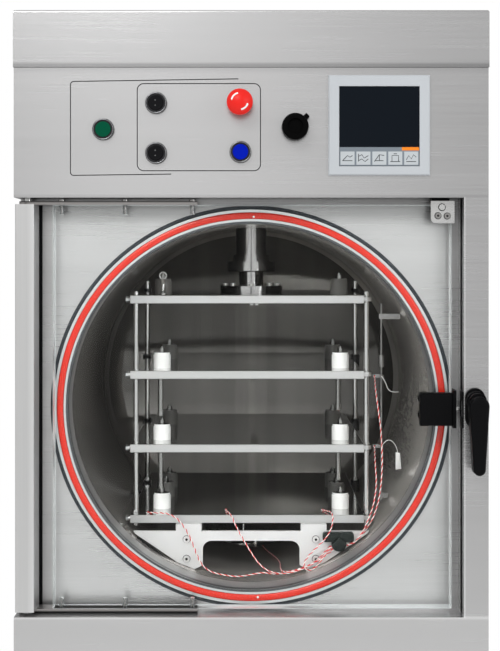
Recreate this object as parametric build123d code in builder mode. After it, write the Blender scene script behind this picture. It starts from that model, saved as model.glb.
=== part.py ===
"""Floor-standing laboratory freeze dryer with a collapsing shelf stack.

Frame: +X to the right, +Y to the back, +Z up, millimetres.  The origin lies on the
floor, in the middle of the machine's width and of its overall depth, lever included.
Every depth below is counted backwards from the front fascia.
"""
import os
from math import asin, cos, radians, sin, sqrt, tan

from build123d import *

# ---------------------------------------------------------------- driving dimensions
CABINET_WIDTH = 665.0
CABINET_DEPTH = 760.0
CABINET_HEIGHT = 1650.0
SHEET = 1.5                     # stainless sheet of every cover
SEAM = 0.5                      # open joint between two covers
FOOT_HEIGHT = 70.0
FOOT_R = 19.5
HOOD_HEIGHT = 80.0
HOOD_PROUD = 1.0
FOLD = 14.0                     # stiffening fold round a cover

BAY_FLOOR_Z = 799.5             # the door's recess in the front
BAY_TOP_Z = 1387.5
BAY_RIGHT_X = 298.0
BAY_DEPTH = 57.0
ACCESS_TOP_Z = 620.0            # top of the lower access panel

CHAMBER_AXIS_Z = 1089.5
CHAMBER_BORE_R = 263.0
CHAMBER_WALL = 6.0
CHAMBER_LENGTH = 500.0
HEAD_DEPTH = 70.0               # bulge of the dished rear head
KNUCKLE_R = 55.0
FLANGE_FRONT = 50.0             # depth of the flange face behind the fascia
FLANGE_R = 283.0
FLANGE_THICKNESS = 14.0
SEAL_R = 274.2                  # mean radius of the door seal
SEAL_WIDTH = 9.4
SEAL_GROOVE = 5.0
SEAL_CORNER_R = 1.8
TRIM_WIDTH = 5.3
FIT = 0.3                       # gap between pieces that must not touch
RUNNING = 0.05                  # radial clearance of a shaft in its bore

SHELF_WIDTH = 350.0
SHELF_DEPTH = 405.0
SHELF_THICKNESS = 12.0
SHELF_FRONT = 130.0
SHELF_SHIFT_X = -6.0            # the plates sit a little left of the chamber axis
SHELF_Z = {1: 1235.0, 2: 1122.3, 3: 1012.4, 4: 907.0}   # underside of each plate
RAM_TRAVEL = 105.0
ROD_R = 4.0
POST_R = 13.25
POST_HEIGHT = 24.0
POST_X = 137.0
POST_DEPTHS = {1: (220.0,), 2: (190.0, 385.0), 3: (190.0, 385.0), 4: (190.0, 290.0, 385.0)}
STOP_PIN_LENGTH = 58.0

DOOR_FRONT = 20.0
DOOR_THICKNESS = 25.0
DOOR_LEFT_X = -281.0
DOOR_RIGHT_X = 284.0
DOOR_BOTTOM_Z = 806.2
DOOR_TOP_Z = 1378.3
STRAP_THICKNESS = 5.0
HINGE_X = -317.5
HINGE_PIN_R = 5.0

FRONT_PROUD = 45.0              # lever and stop button stand this far out
LATCH_Z = 1090.0
LATCH_DEPTH = 20.0              # depth of the latch pin behind the fascia
LATCH_PIN_R = 3.3
LEVER_X = 313.0
LEVER_Z = 1104.0
SPINDLE_R = 6.0
CAM_SLOT_DEPTH = (6.5, 25.0)
CAM_SLOT_Z = (1078.5, 1102.5)

BUTTON_HOLE_R = 11.0
BEZEL_R = 15.2
BEZEL_PROUD = 7.0
BUTTON_TRAVEL = 3.0
BUTTONS = {"green_button": (-206.8, 1482.6), "black_button_upper": (-133.0, 1519.5),
           "black_button_lower": (-133.0, 1449.4), "blue_button": (-15.0, 1451.0)}
STOP_PLACE = (-15.7, 1518.0)
STOP_HEAD_R = 18.0
KNOB_PLACE = (61.2, 1485.4)
KNOB_R = 18.5
SCREEN_X = (107.9, 249.8)
SCREEN_Z = (1418.4, 1558.2)

# ---------------------------------------------------------------- places worked out
HALF_WIDTH = CABINET_WIDTH / 2
FRONT = (FRONT_PROUD - CABINET_DEPTH) / 2
HOOD_Z = CABINET_HEIGHT - HOOD_HEIGHT
DOOR_BACK = DOOR_FRONT + DOOR_THICKNESS
DOOR_MID = DOOR_FRONT + DOOR_THICKNESS / 2
SHELF_LEFT_X = SHELF_SHIFT_X - SHELF_WIDTH / 2
SHELF_RIGHT_X = SHELF_SHIFT_X + SHELF_WIDTH / 2
SHELL_R = CHAMBER_BORE_R + CHAMBER_WALL

os.makedirs("parts", exist_ok=True)


# ---------------------------------------------------------------- small helpers
def back(depth):
    """Turn a depth behind the fascia into a Y place."""
    return FRONT + depth


def block(x_range, depth_range, z_range, mode=Mode.ADD):
    """A box between two X values, two depths and two Z values."""
    spans = (x_range, (back(depth_range[0]), back(depth_range[1])), z_range)
    middle = tuple((low + high) / 2 for low, high in spans)
    with Locations(middle):
        Box(*(high - low for low, high in spans), mode=mode)


def bar(radius, start, direction, length, mode=Mode.ADD):
    """A round bar from a point (x, depth, z) along a direction."""
    x, depth, z = start
    with Locations(Plane(origin=(x, back(depth), z), z_dir=direction)):
        Cylinder(radius, length, align=(Align.CENTER, Align.CENTER, Align.MIN), mode=mode)


def hexagon(across_flats, start, direction, length, mode=Mode.ADD):
    """A hexagon bar, as of a nut or a bolt head."""
    x, depth, z = start
    place = Plane(origin=(x, back(depth), z), z_dir=direction)
    with BuildSketch(place) as outline:
        RegularPolygon(across_flats / 2, 6, major_radius=False)
    extrude(outline.sketch, amount=length, mode=mode)


def front_plane(depth):
    """A sketch plane at a depth, seen from the front: local x is X, local y is Z."""
    return Plane(origin=(0, back(depth), 0), x_dir=(1, 0, 0), z_dir=(0, -1, 0))


def radial_plane():
    """Local x runs to the back from the flange face, local y is the chamber radius."""
    place = (0, back(FLANGE_FRONT), CHAMBER_AXIS_Z)
    return Plane(origin=place, x_dir=(0, 1, 0), z_dir=(1, 0, 0))


CHAMBER_AXIS = Axis((0, 0, CHAMBER_AXIS_Z), (0, 1, 0))


def write(piece, name):
    """Label a finished piece and save it as its own STEP file."""
    piece.part.label = name
    export_step(piece.part, f"parts/{name}.step")


# ---------------------------------------------------------------- frame and feet
ANGLE = 30.0                    # leg of the angle-iron frame
ANGLE_WALL = 3.0
RAIL = 40.0                     # square section of the base ring
SADDLE_DEPTHS = (170.0, 470.0)
SADDLE_HALF_WIDTH = 190.0
SADDLE_THICKNESS = 8.0
DECK_Z = 770.0
POST_FRONT = BAY_DEPTH + SHEET
POST_REAR = CABINET_DEPTH - SHEET
INSIDE_X = HALF_WIDTH - SHEET
FRAME_TOP_Z = HOOD_Z + 20.0


def corner_post(side, depth, inward):
    """One upright of angle iron, its corner at the outside of the cabinet."""
    outer = side * INSIDE_X
    x_range = sorted((outer, outer - side * ANGLE))
    wall_x = sorted((outer, outer - side * ANGLE_WALL))
    depths = sorted((depth, depth + inward * ANGLE))
    wall_depths = sorted((depth, depth + inward * ANGLE_WALL))
    block(wall_x, depths, (FOOT_HEIGHT, FRAME_TOP_Z))
    block(x_range, wall_depths, (FOOT_HEIGHT, FRAME_TOP_Z))


with BuildPart() as base_frame:
    for rail_depth in (POST_FRONT, POST_REAR - RAIL):
        block((-INSIDE_X, INSIDE_X), (rail_depth, rail_depth + RAIL), (FOOT_HEIGHT, FOOT_HEIGHT + RAIL))
    for side in (-1, 1):
        rail_x = sorted((side * INSIDE_X, side * (INSIDE_X - RAIL)))
        block(rail_x, (POST_FRONT, POST_REAR), (FOOT_HEIGHT, FOOT_HEIGHT + RAIL))
        corner_post(side, POST_FRONT, 1)
        corner_post(side, POST_REAR, -1)
        # the rail that carries the chamber deck
        ledge_x = sorted((side * INSIDE_X, side * (INSIDE_X - ANGLE)))
        wall_x = sorted((side * INSIDE_X, side * (INSIDE_X - ANGLE_WALL)))
        block(wall_x, (POST_FRONT, POST_REAR), (DECK_Z - ANGLE, DECK_Z))
        block(ledge_x, (POST_FRONT, POST_REAR), (DECK_Z - ANGLE_WALL, DECK_Z))
    # the base ring is a channel, open towards the middle
    block((ANGLE_WALL - INSIDE_X, INSIDE_X - ANGLE_WALL), (POST_FRONT + ANGLE_WALL, POST_REAR - ANGLE_WALL),
          (FOOT_HEIGHT + ANGLE_WALL, FOOT_HEIGHT + RAIL - ANGLE_WALL), mode=Mode.SUBTRACT)
    # saddles: a plate across the frame with the shell's arc cut in its upper edge
    for saddle_depth in SADDLE_DEPTHS:
        with BuildSketch(front_plane(saddle_depth)):
            with BuildLine():
                Polyline((-INSIDE_X + ANGLE_WALL, DECK_Z), (-INSIDE_X + ANGLE_WALL, DECK_Z + RAIL),
                         (-SADDLE_HALF_WIDTH, CHAMBER_AXIS_Z - SADDLE_HALF_WIDTH),
                         (SADDLE_HALF_WIDTH, CHAMBER_AXIS_Z - SADDLE_HALF_WIDTH),
                         (INSIDE_X - ANGLE_WALL, DECK_Z + RAIL), (INSIDE_X - ANGLE_WALL, DECK_Z),
                         close=True)
            make_face()
            with Locations((0, CHAMBER_AXIS_Z)):
                Circle(SHELL_R + FIT, mode=Mode.SUBTRACT)
        extrude(amount=-SADDLE_THICKNESS)
write(base_frame, "base_frame")

with BuildPart() as levelling_feet:
    for side in (-1, 1):
        for foot_depth in (POST_FRONT + RAIL / 2, POST_REAR - RAIL / 2):
            centre = (side * (INSIDE_X - RAIL / 2), foot_depth)
            bar(FOOT_R, (*centre, 0), (0, 0, 1), 12.0)
            bar(6.0, (*centre, 12.0), (0, 0, 1), FOOT_HEIGHT - 12.0)
            hexagon(17.0, (*centre, FOOT_HEIGHT - 18.0), (0, 0, 1), 8.0)
    foot_pads = levelling_feet.edges().filter_by(GeomType.CIRCLE).group_by(Axis.Z)[1]
    chamfer(foot_pads.filter_by(lambda edge: edge.radius > FOOT_R - 1), length=4.0)
write(levelling_feet, "levelling_feet")


# ---------------------------------------------------------------- covers
def side_cover(side):
    """One side sheet, cut back beside the door's recess, with folds at its ends."""
    outer = sorted((side * HALF_WIDTH, side * INSIDE_X))
    fold_x = sorted((side * HALF_WIDTH, side * (INSIDE_X - FOLD)))
    front_edge = FOLD + SEAM
    rear_edge = CABINET_DEPTH
    z_range = (FOOT_HEIGHT, HOOD_Z - SEAM)
    with BuildPart() as cover:
        block(outer, (front_edge, rear_edge), z_range)
        block(fold_x, (front_edge, front_edge + SHEET), z_range)
        if side < 0:
            notch = (BAY_FLOOR_Z - SHEET - SEAM, BAY_TOP_Z + SHEET + SEAM)
            block((-HALF_WIDTH - 1, 0), (0, BAY_DEPTH), notch, mode=Mode.SUBTRACT)
    return cover


side_panel_left = side_cover(-1)
write(side_panel_left, "side_panel_left")
side_panel_right = side_cover(1)
write(side_panel_right, "side_panel_right")

with BuildPart() as front_fascia:
    # one sheet: header, right column and lower part round the door's recess
    with BuildSketch(front_plane(0)):
        with BuildLine():
            Polyline((-HALF_WIDTH, ACCESS_TOP_Z + SEAM), (HALF_WIDTH, ACCESS_TOP_Z + SEAM),
                     (HALF_WIDTH, HOOD_Z - SEAM), (-HALF_WIDTH, HOOD_Z - SEAM),
                     (-HALF_WIDTH, BAY_TOP_Z), (BAY_RIGHT_X, BAY_TOP_Z),
                     (BAY_RIGHT_X, BAY_FLOOR_Z), (-HALF_WIDTH, BAY_FLOOR_Z), close=True)
        make_face()
        with Locations(*BUTTONS.values(), STOP_PLACE, KNOB_PLACE):
            Circle(BUTTON_HOLE_R + FIT, mode=Mode.SUBTRACT)
        with Locations((sum(SCREEN_X) / 2, sum(SCREEN_Z) / 2)):
            Rectangle(SCREEN_X[1] - SCREEN_X[0] - 8.0, SCREEN_Z[1] - SCREEN_Z[0] - 8.0, mode=Mode.SUBTRACT)
        with Locations((LEVER_X, LEVER_Z)):
            Circle(SPINDLE_R + 3.0, mode=Mode.SUBTRACT)
    extrude(amount=-SHEET)
    # folds that line the recess
    block((-HALF_WIDTH, BAY_RIGHT_X + SHEET), (0, BAY_DEPTH), (BAY_TOP_Z, BAY_TOP_Z + SHEET))
    block((-HALF_WIDTH, BAY_RIGHT_X + SHEET), (0, BAY_DEPTH), (BAY_FLOOR_Z - SHEET, BAY_FLOOR_Z))
    block((BAY_RIGHT_X, BAY_RIGHT_X + SHEET), (0, BAY_DEPTH), (BAY_FLOOR_Z - SHEET, BAY_TOP_Z + SHEET))
    # folds round the outside
    block((HALF_WIDTH - SHEET, HALF_WIDTH), (0, FOLD), (ACCESS_TOP_Z + SEAM, HOOD_Z - SEAM))
    block((-HALF_WIDTH, SHEET - HALF_WIDTH), (0, FOLD), (BAY_TOP_Z, HOOD_Z - SEAM))
    block((-HALF_WIDTH, SHEET - HALF_WIDTH), (0, FOLD), (ACCESS_TOP_Z + SEAM, BAY_FLOOR_Z))
    block((-HALF_WIDTH, HALF_WIDTH), (0, FOLD), (HOOD_Z - SEAM - SHEET, HOOD_Z - SEAM))
    block((-HALF_WIDTH, HALF_WIDTH), (0, FOLD), (ACCESS_TOP_Z + SEAM, ACCESS_TOP_Z + SEAM + SHEET))
    # the slot that the cam comes out of
    block((BAY_RIGHT_X - 1, BAY_RIGHT_X + SHEET + 1), CAM_SLOT_DEPTH, CAM_SLOT_Z, mode=Mode.SUBTRACT)
write(front_fascia, "front_fascia")

with BuildPart() as lower_front_panel:
    block((-HALF_WIDTH, HALF_WIDTH), (0, SHEET), (FOOT_HEIGHT, ACCESS_TOP_Z))
    for side in (-1, 1):
        block(sorted((side * HALF_WIDTH, side * INSIDE_X)), (0, FOLD), (FOOT_HEIGHT, ACCESS_TOP_Z))
    block((-HALF_WIDTH, HALF_WIDTH), (0, FOLD), (FOOT_HEIGHT, FOOT_HEIGHT + SHEET))
    block((-HALF_WIDTH, HALF_WIDTH), (0, FOLD), (ACCESS_TOP_Z - SHEET, ACCESS_TOP_Z))
    # a finger pull folded into the upper edge
    with BuildSketch(front_plane(0)):
        with Locations((0, ACCESS_TOP_Z - 24.0)):
            SlotOverall(110.0, 22.0)
    extrude(amount=-SHEET, mode=Mode.SUBTRACT)
write(lower_front_panel, "lower_front_panel")

HOOD_X = HALF_WIDTH + HOOD_PROUD
with BuildPart() as hood:
    # a tray turned over: drawn as a solid, hollowed from below
    block((-HOOD_X, HOOD_X), (-HOOD_PROUD, CABINET_DEPTH), (HOOD_Z, CABINET_HEIGHT))
    fillet(hood.edges().group_by(Axis.Z)[-1], radius=3.0)
    block((SHEET - HOOD_X, HOOD_X - SHEET), (SHEET - HOOD_PROUD, CABINET_DEPTH - SHEET),
          (HOOD_Z - 1, CABINET_HEIGHT - SHEET), mode=Mode.SUBTRACT)
write(hood, "hood")

LOUVRE_LENGTH = 200.0
LOUVRE_RISE = 9.0
LOUVRE_PITCH = 26.0
LOUVRES = 8
LOUVRE_FIELDS = ((-140.0, 330.0), (140.0, 330.0))
REAR_INNER = CABINET_DEPTH - SHEET
VACUUM_PORT = (0.0, 640.0)
VACUUM_PORT_R = 20.0
VACUUM_BORE_R = 12.5
DRAIN_PORT = (0.0, 430.0)
DRAIN_PORT_R = 12.0
DRAIN_BORE_R = 6.35
INLET_PLACE = (220.0, 1500.0)

with BuildPart() as rear_panel:
    block((-INSIDE_X, INSIDE_X), (REAR_INNER, CABINET_DEPTH), (FOOT_HEIGHT, HOOD_Z - SEAM))
    # rows of louvres: slots with a lip pressed inwards over each
    with BuildSketch(front_plane(REAR_INNER)):
        for field in LOUVRE_FIELDS:
            with Locations(field):
                with GridLocations(LOUVRE_LENGTH, LOUVRE_PITCH, 1, LOUVRES):
                    Rectangle(LOUVRE_LENGTH, LOUVRE_RISE)
        with Locations(VACUUM_PORT):
            Circle(VACUUM_PORT_R + FIT)
        with Locations(DRAIN_PORT):
            Circle(DRAIN_PORT_R + FIT)
        with Locations(INLET_PLACE):
            Rectangle(48.0 + FIT, 28.0 + FIT)
    extrude(amount=-SHEET, mode=Mode.SUBTRACT)
    for centre_x, centre_z in LOUVRE_FIELDS:
        lip_start = (centre_x - LOUVRE_LENGTH / 2, back(REAR_INNER), centre_z)
        with BuildSketch(Plane(origin=lip_start, x_dir=(0, 1, 0), z_dir=(1, 0, 0))):
            with GridLocations(1, LOUVRE_PITCH, 1, LOUVRES):
                Polygon((0, LOUVRE_RISE / 2), (0, LOUVRE_RISE / 2 + SHEET),
                        (-LOUVRE_RISE, SHEET - LOUVRE_RISE / 2),
                        (-LOUVRE_RISE, -LOUVRE_RISE / 2), align=None)
        extrude(amount=LOUVRE_LENGTH)
write(rear_panel, "rear_panel")

TRIM_OUTER_R = FLANGE_R + 0.4 + TRIM_WIDTH
PANEL_HOLE_R = TRIM_OUTER_R - 2.6

with BuildPart() as bay_panel:
    block((-INSIDE_X, INSIDE_X), (BAY_DEPTH, BAY_DEPTH + SHEET), (BAY_FLOOR_Z - 18.0, BAY_TOP_Z + 18.0))
    bar(PANEL_HOLE_R, (0, BAY_DEPTH - 1, CHAMBER_AXIS_Z), (0, 1, 0), SHEET + 2, mode=Mode.SUBTRACT)
write(bay_panel, "bay_panel")

with BuildPart() as flange_trim:
    # a rubber channel pushed over the panel's edge
    with BuildSketch(radial_plane()):
        panel_at = BAY_DEPTH - FLANGE_FRONT
        with Locations((panel_at + SHEET / 2, TRIM_OUTER_R - TRIM_WIDTH / 2)):
            RectangleRounded(9.0, TRIM_WIDTH, 1.2)
        with Locations((panel_at + SHEET / 2, PANEL_HOLE_R - 0.1 + 5)):
            Rectangle(SHEET + 0.2, 10, mode=Mode.SUBTRACT)
    revolve(axis=CHAMBER_AXIS)
write(flange_trim, "flange_trim")


# ---------------------------------------------------------------- chamber
BOSS_R = 50.0
BOSS_TOP_Z = CHAMBER_AXIS_Z + SHELL_R + 14.0
RAM_DEPTH = 330.0
TUBE_R = 25.0
DUCT_R = 55.0
DUCT_DEPTH = 400.0
CONDENSER_TOP_Z = 690.0
BRACKET_DEPTHS = (120.0, 470.0)
BRACKET_THICKNESS = 6.0
BRACKET_BOLT_X = 96.0
BRACKET_BOLT_Z = (885.0, 856.0)
BRACKET_TOP_Z = 897.0



def bore_z(x, clearance=0.0):
    """Height of the chamber's floor at a distance from its middle."""
    return CHAMBER_AXIS_Z - sqrt((CHAMBER_BORE_R - clearance) ** 2 - x ** 2)


def vessel_outline(start, rim_radius, rise, knuckle):
    """Half section of a drum with a dished head, from a start along the chamber's axis."""
    crown_radius = (rim_radius ** 2 + rise ** 2) / (2 * rise)
    with BuildSketch(radial_plane()) as outline:
        with BuildLine():
            Polyline((CHAMBER_LENGTH + rise, 0), (start, 0), (start, rim_radius),
                     (CHAMBER_LENGTH, rim_radius))
            RadiusArc((CHAMBER_LENGTH, rim_radius), (CHAMBER_LENGTH + rise, 0), crown_radius)
        make_face()
        shoulder = outline.vertices().group_by(Axis.Y)[-1].sort_by(Axis.X)[-1]
        fillet(shoulder, radius=knuckle)
    return outline.sketch


with BuildPart() as chamber:
    revolve(vessel_outline(0, SHELL_R, HEAD_DEPTH, KNUCKLE_R), axis=CHAMBER_AXIS)
    with BuildSketch(radial_plane()):
        with Locations((FLANGE_THICKNESS / 2, FLANGE_R / 2)):
            Rectangle(FLANGE_THICKNESS, FLANGE_R)
    revolve(axis=CHAMBER_AXIS)
    # the ram's boss on top and the vapour duct below, welded to the shell
    bar(BOSS_R, (0, RAM_DEPTH, CHAMBER_AXIS_Z + 200), (0, 0, 1), BOSS_TOP_Z - CHAMBER_AXIS_Z - 200)
    bar(DUCT_R, (0, DUCT_DEPTH, CONDENSER_TOP_Z), (0, 0, 1), CHAMBER_AXIS_Z - CONDENSER_TOP_Z - 200)
    revolve(vessel_outline(-1, CHAMBER_BORE_R, HEAD_DEPTH - CHAMBER_WALL, KNUCKLE_R - CHAMBER_WALL),
            axis=CHAMBER_AXIS, mode=Mode.SUBTRACT)
    # groove for the door seal, and a small chamfer at the mouth
    with BuildSketch(radial_plane()):
        with Locations((SEAL_GROOVE / 2 - 1, SEAL_R)):
            Rectangle(SEAL_GROOVE + 2, SEAL_WIDTH + 2 * FIT, align=(Align.CENTER, Align.CENTER))
    revolve(axis=CHAMBER_AXIS, mode=Mode.SUBTRACT)
    # lugs that the support brackets are bolted to
    for bracket_depth in BRACKET_DEPTHS:
        for side in (-1, 1):
            lug_x = (side * BRACKET_BOLT_X - 11.0, side * BRACKET_BOLT_X + 11.0)
            lug_depth = (bracket_depth + BRACKET_THICKNESS, bracket_depth + BRACKET_THICKNESS + 14.0)
            block(lug_x, lug_depth, (bore_z(BRACKET_BOLT_X + 11.0) - CHAMBER_WALL, BRACKET_TOP_Z - 5.0))
    bar(TUBE_R + RUNNING, (0, RAM_DEPTH, CHAMBER_AXIS_Z + 200), (0, 0, 1), 200, mode=Mode.SUBTRACT)
    bar(DUCT_R - 3.0, (0, DUCT_DEPTH, CONDENSER_TOP_Z - 1), (0, 0, 1),
        CHAMBER_AXIS_Z - CONDENSER_TOP_Z - 200, mode=Mode.SUBTRACT)
write(chamber, "chamber")

with BuildPart() as door_seal:
    seal_proud = FLANGE_FRONT - DOOR_BACK - FIT
    with BuildSketch(radial_plane()):
        with Locations(((SEAL_GROOVE - seal_proud) / 2, SEAL_R)):
            RectangleRounded(SEAL_GROOVE + seal_proud, SEAL_WIDTH, SEAL_CORNER_R)
    revolve(axis=CHAMBER_AXIS)
write(door_seal, "door_seal")


# ---------------------------------------------------------------- shelf stack
ROD_CLEARANCE = 0.5
FRONT_ROD = (173.5, 148.0)      # x and depth of the front tie rods
REAR_ROD = (178.0, 430.0)
BUSH_R = 7.5
BUSH_HEIGHT = 20.0
ROD_TOP_FRONT = 1252.5
ROD_TOP_REAR = 1264.0
STOP_PIN_PLACES = ((-137.0, 158.0), (137.0, 240.0))
FITTING_DEPTH = 172.0
PLATE_TOP_Z = {number: low + SHELF_THICKNESS for number, low in SHELF_Z.items()}
SHELF_REAR = SHELF_FRONT + SHELF_DEPTH


def shelf_plate(number):
    """A hollow heat-transfer plate with its lugs, bushes and end fittings."""
    low = SHELF_Z[number]
    middle = low + SHELF_THICKNESS / 2
    with BuildPart() as plate:
        block((SHELF_LEFT_X, SHELF_RIGHT_X), (SHELF_FRONT, SHELF_REAR), (low, low + SHELF_THICKNESS))
        chamfer(plate.edges(), length=0.6)
        # lugs beside the right edge, where both rods pass outside the plate
        for x, depth in (FRONT_ROD, REAR_ROD):
            block((SHELF_RIGHT_X - 2, x), (depth - BUSH_R, depth + BUSH_R), (middle - 3, middle + 3))
            bar(BUSH_R, (x, depth, middle - 3), (0, 0, 1), 6.0)
        # bushes that slide on the rear rods
        for side in (-1, 1):
            bar(BUSH_R, (side * REAR_ROD[0], REAR_ROD[1], middle - BUSH_HEIGHT / 2), (0, 0, 1), BUSH_HEIGHT)
        # bleed bolt on the left, hose elbow stub on the right
        bar(3.2, (SHELF_LEFT_X + 1, FRONT_ROD[1] - 8, middle), (-1, 0, 0), 6.0)
        hexagon(8.0, (SHELF_LEFT_X - 3, FRONT_ROD[1] - 8, middle), (-1, 0, 0), 4.0)
        bar(3.6, (SHELF_RIGHT_X - 1, FITTING_DEPTH, middle), (1, 0, 0), 12.0)
        hexagon(9.0, (SHELF_RIGHT_X + 4, FITTING_DEPTH, middle), (1, 0, 0), 5.0)
        for x, depth in (FRONT_ROD, REAR_ROD):
            for side in (-1, 1):
                bar(ROD_R + ROD_CLEARANCE, (side * x, depth, low - 20), (0, 0, 1), 60, mode=Mode.SUBTRACT)
    return plate


def shelf_posts(number, stop_pins):
    """Insulating posts with their nuts on a plate, and stop pins hung below it."""
    top = PLATE_TOP_Z[number]
    with BuildPart() as posts:
        for side in (-1, 1):
            for depth in POST_DEPTHS[number]:
                place = (side * POST_X, depth)
                bar(POST_R, (*place, top), (0, 0, 1), POST_HEIGHT - 4.0)
                bar(POST_R - 1.2, (*place, top + POST_HEIGHT - 4.0), (0, 0, 1), 4.0)
                hexagon(7.0, (*place, top + POST_HEIGHT), (0, 0, 1), 6.0)
                bar(2.0, (*place, top + POST_HEIGHT + 6.0), (0, 0, 1), 3.0)
        if stop_pins:
            for place in STOP_PIN_PLACES:
                bar(ROD_R, (*place, SHELF_Z[number]), (0, 0, -1), STOP_PIN_LENGTH - 8.0)
                bar(ROD_R + 0.8, (*place, SHELF_Z[number] - STOP_PIN_LENGTH + 8.0), (0, 0, -1), 8.0)
    return posts


for shelf_number in SHELF_Z:
    shelf = shelf_plate(shelf_number)
    if shelf_number == 1:
        # two plugs of the fluid channels, under the front edge
        with shelf:
            for plug_x in (0.5, 8.5):
                hexagon(6.0, (plug_x, SHELF_FRONT + 12.0, SHELF_Z[1]), (0, 0, -1), 3.0)
    write(shelf, f"shelf_{shelf_number}")
    write(shelf_posts(shelf_number, shelf_number in (2, 3)), f"shelf_{shelf_number}_posts")

with BuildPart() as guide_rods:
    for side in (-1, 1):
        x, depth = side * FRONT_ROD[0], FRONT_ROD[1]
        bar(ROD_R, (x, depth, SHELF_Z[4] - 7.0), (0, 0, 1), ROD_TOP_FRONT - SHELF_Z[4] + 7.0)
        hexagon(10.0, (x, depth, SHELF_Z[4] - 5.0), (0, 0, 1), 5.0)
        hexagon(10.0, (x, depth, PLATE_TOP_Z[4]), (0, 0, 1), 5.0)
        x, depth = side * REAR_ROD[0], REAR_ROD[1]
        bar(ROD_R, (x, depth, SHELF_Z[4] - 3.0), (0, 0, 1), ROD_TOP_REAR - SHELF_Z[4] + 3.0)
        bush_top = SHELF_Z[4] + (SHELF_THICKNESS + BUSH_HEIGHT) / 2
        hexagon(10.0, (x, depth, bush_top), (0, 0, 1), 5.0)
write(guide_rods, "guide_rods")

CUT_OUT_X = 72.0
CUT_OUT_TOP_Z = 882.7
CUT_OUT_R = 13.0
BRACKET_HALF_WIDTH = 175.0
BRACKET_WAIST_X = 110.0
BRACKET_TOE_X = 84.0
PAD_X = (74.0, 112.0)
PAD_DEPTH = 30.0

with BuildPart() as support_brackets:
    for bracket_depth in BRACKET_DEPTHS:
        with BuildSketch(front_plane(bracket_depth)) as bracket_outline:
            toe_z = bore_z(BRACKET_TOE_X, FIT)
            right = [(BRACKET_HALF_WIDTH, BRACKET_TOP_Z),
                     (BRACKET_HALF_WIDTH - 3.0, bore_z(BRACKET_HALF_WIDTH - 3.0, FIT + 1.5)),
                     (BRACKET_WAIST_X, bore_z(BRACKET_WAIST_X, FIT)), (BRACKET_TOE_X, toe_z),
                     (CUT_OUT_X, toe_z + 6.0), (CUT_OUT_X, CUT_OUT_TOP_Z)]
            left = [(-x, z) for x, z in reversed(right)]
            with BuildLine():
                Polyline(*right, *left, close=True)
            make_face()
            inner_corners = [v for v in bracket_outline.vertices()
                             if abs(abs(v.X) - CUT_OUT_X) < 0.1 and abs(v.Y - CUT_OUT_TOP_Z) < 0.1]
            fillet(inner_corners, radius=CUT_OUT_R)
            for side in (-1, 1):
                with Locations(*[(side * BRACKET_BOLT_X, height) for height in BRACKET_BOLT_Z]):
                    Circle(3.2, mode=Mode.SUBTRACT)
        extrude(amount=-BRACKET_THICKNESS)
        for side in (-1, 1):
            pad_x = sorted(side * x for x in PAD_X)
            block(pad_x, (bracket_depth, bracket_depth + PAD_DEPTH), (BRACKET_TOP_Z - 4.0, SHELF_Z[4]))
write(support_brackets, "support_brackets")

with BuildPart() as bracket_bolts:
    for bracket_depth in BRACKET_DEPTHS:
        for side in (-1, 1):
            for height in BRACKET_BOLT_Z:
                place = (side * BRACKET_BOLT_X, bracket_depth, height)
                bar(5.0, place, (0, -1, 0), 3.0)
                bar(3.0, place, (0, 1, 0), BRACKET_THICKNESS)
write(bracket_bolts, "bracket_bolts")


# ---------------------------------------------------------------- ram
SHAFT_R = 20.0
PISTON_R = 28.0
PISTON_HEIGHT = 18.0
CYLINDER_R = 38.0
CYLINDER_CAP = 12.0
GLAND_FLANGE = 8.0
RAM_FLANGE_R = 51.0
RAM_FLANGE_HEIGHT = 8.0
SHAFT_BOTTOM_Z = PLATE_TOP_Z[1] + 3.0
CYLINDER_BOTTOM_Z = BOSS_TOP_Z + GLAND_FLANGE
CYLINDER_TOP_Z = 1622.0
PISTON_TOP_Z = CYLINDER_TOP_Z - CYLINDER_CAP - 2.0
RAM_SCREW_PCD = 84.0


def disc(radius, low, high):
    """A disc on the ram's axis, between two heights."""
    bar(radius, (0, RAM_DEPTH, low), (0, 0, 1), high - low)


with BuildPart() as ram_gland:
    disc(42.0, BOSS_TOP_Z, CYLINDER_BOTTOM_Z)
    disc(TUBE_R, 1300.0, BOSS_TOP_Z)
    disc(29.8, 1297.5, 1308.5)
    disc(39.0, 1281.0, 1297.5)
    chamfer(ram_gland.edges().filter_by(GeomType.CIRCLE).group_by(Axis.Z)[0], length=1.5)
    bar(SHAFT_R + RUNNING, (0, RAM_DEPTH, 1270.0), (0, 0, 1), 200.0, mode=Mode.SUBTRACT)
write(ram_gland, "ram_gland")

with BuildPart() as ram_cylinder:
    disc(46.0, CYLINDER_BOTTOM_Z, CYLINDER_BOTTOM_Z + 10.0)
    disc(CYLINDER_R, CYLINDER_BOTTOM_Z + 10.0, CYLINDER_TOP_Z)
    for port_z in (CYLINDER_BOTTOM_Z + 24.0, CYLINDER_TOP_Z - 24.0):
        bar(8.0, (0, RAM_DEPTH + CYLINDER_R - 4, port_z), (0, 1, 0), 18.0)
        hexagon(19.0, (0, RAM_DEPTH + CYLINDER_R + 4, port_z), (0, 1, 0), 8.0)
    bar(PISTON_R + RUNNING, (0, RAM_DEPTH, CYLINDER_BOTTOM_Z - 1), (0, 0, 1),
        CYLINDER_TOP_Z - CYLINDER_CAP - CYLINDER_BOTTOM_Z + 1, mode=Mode.SUBTRACT)
write(ram_cylinder, "ram_cylinder")

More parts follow.
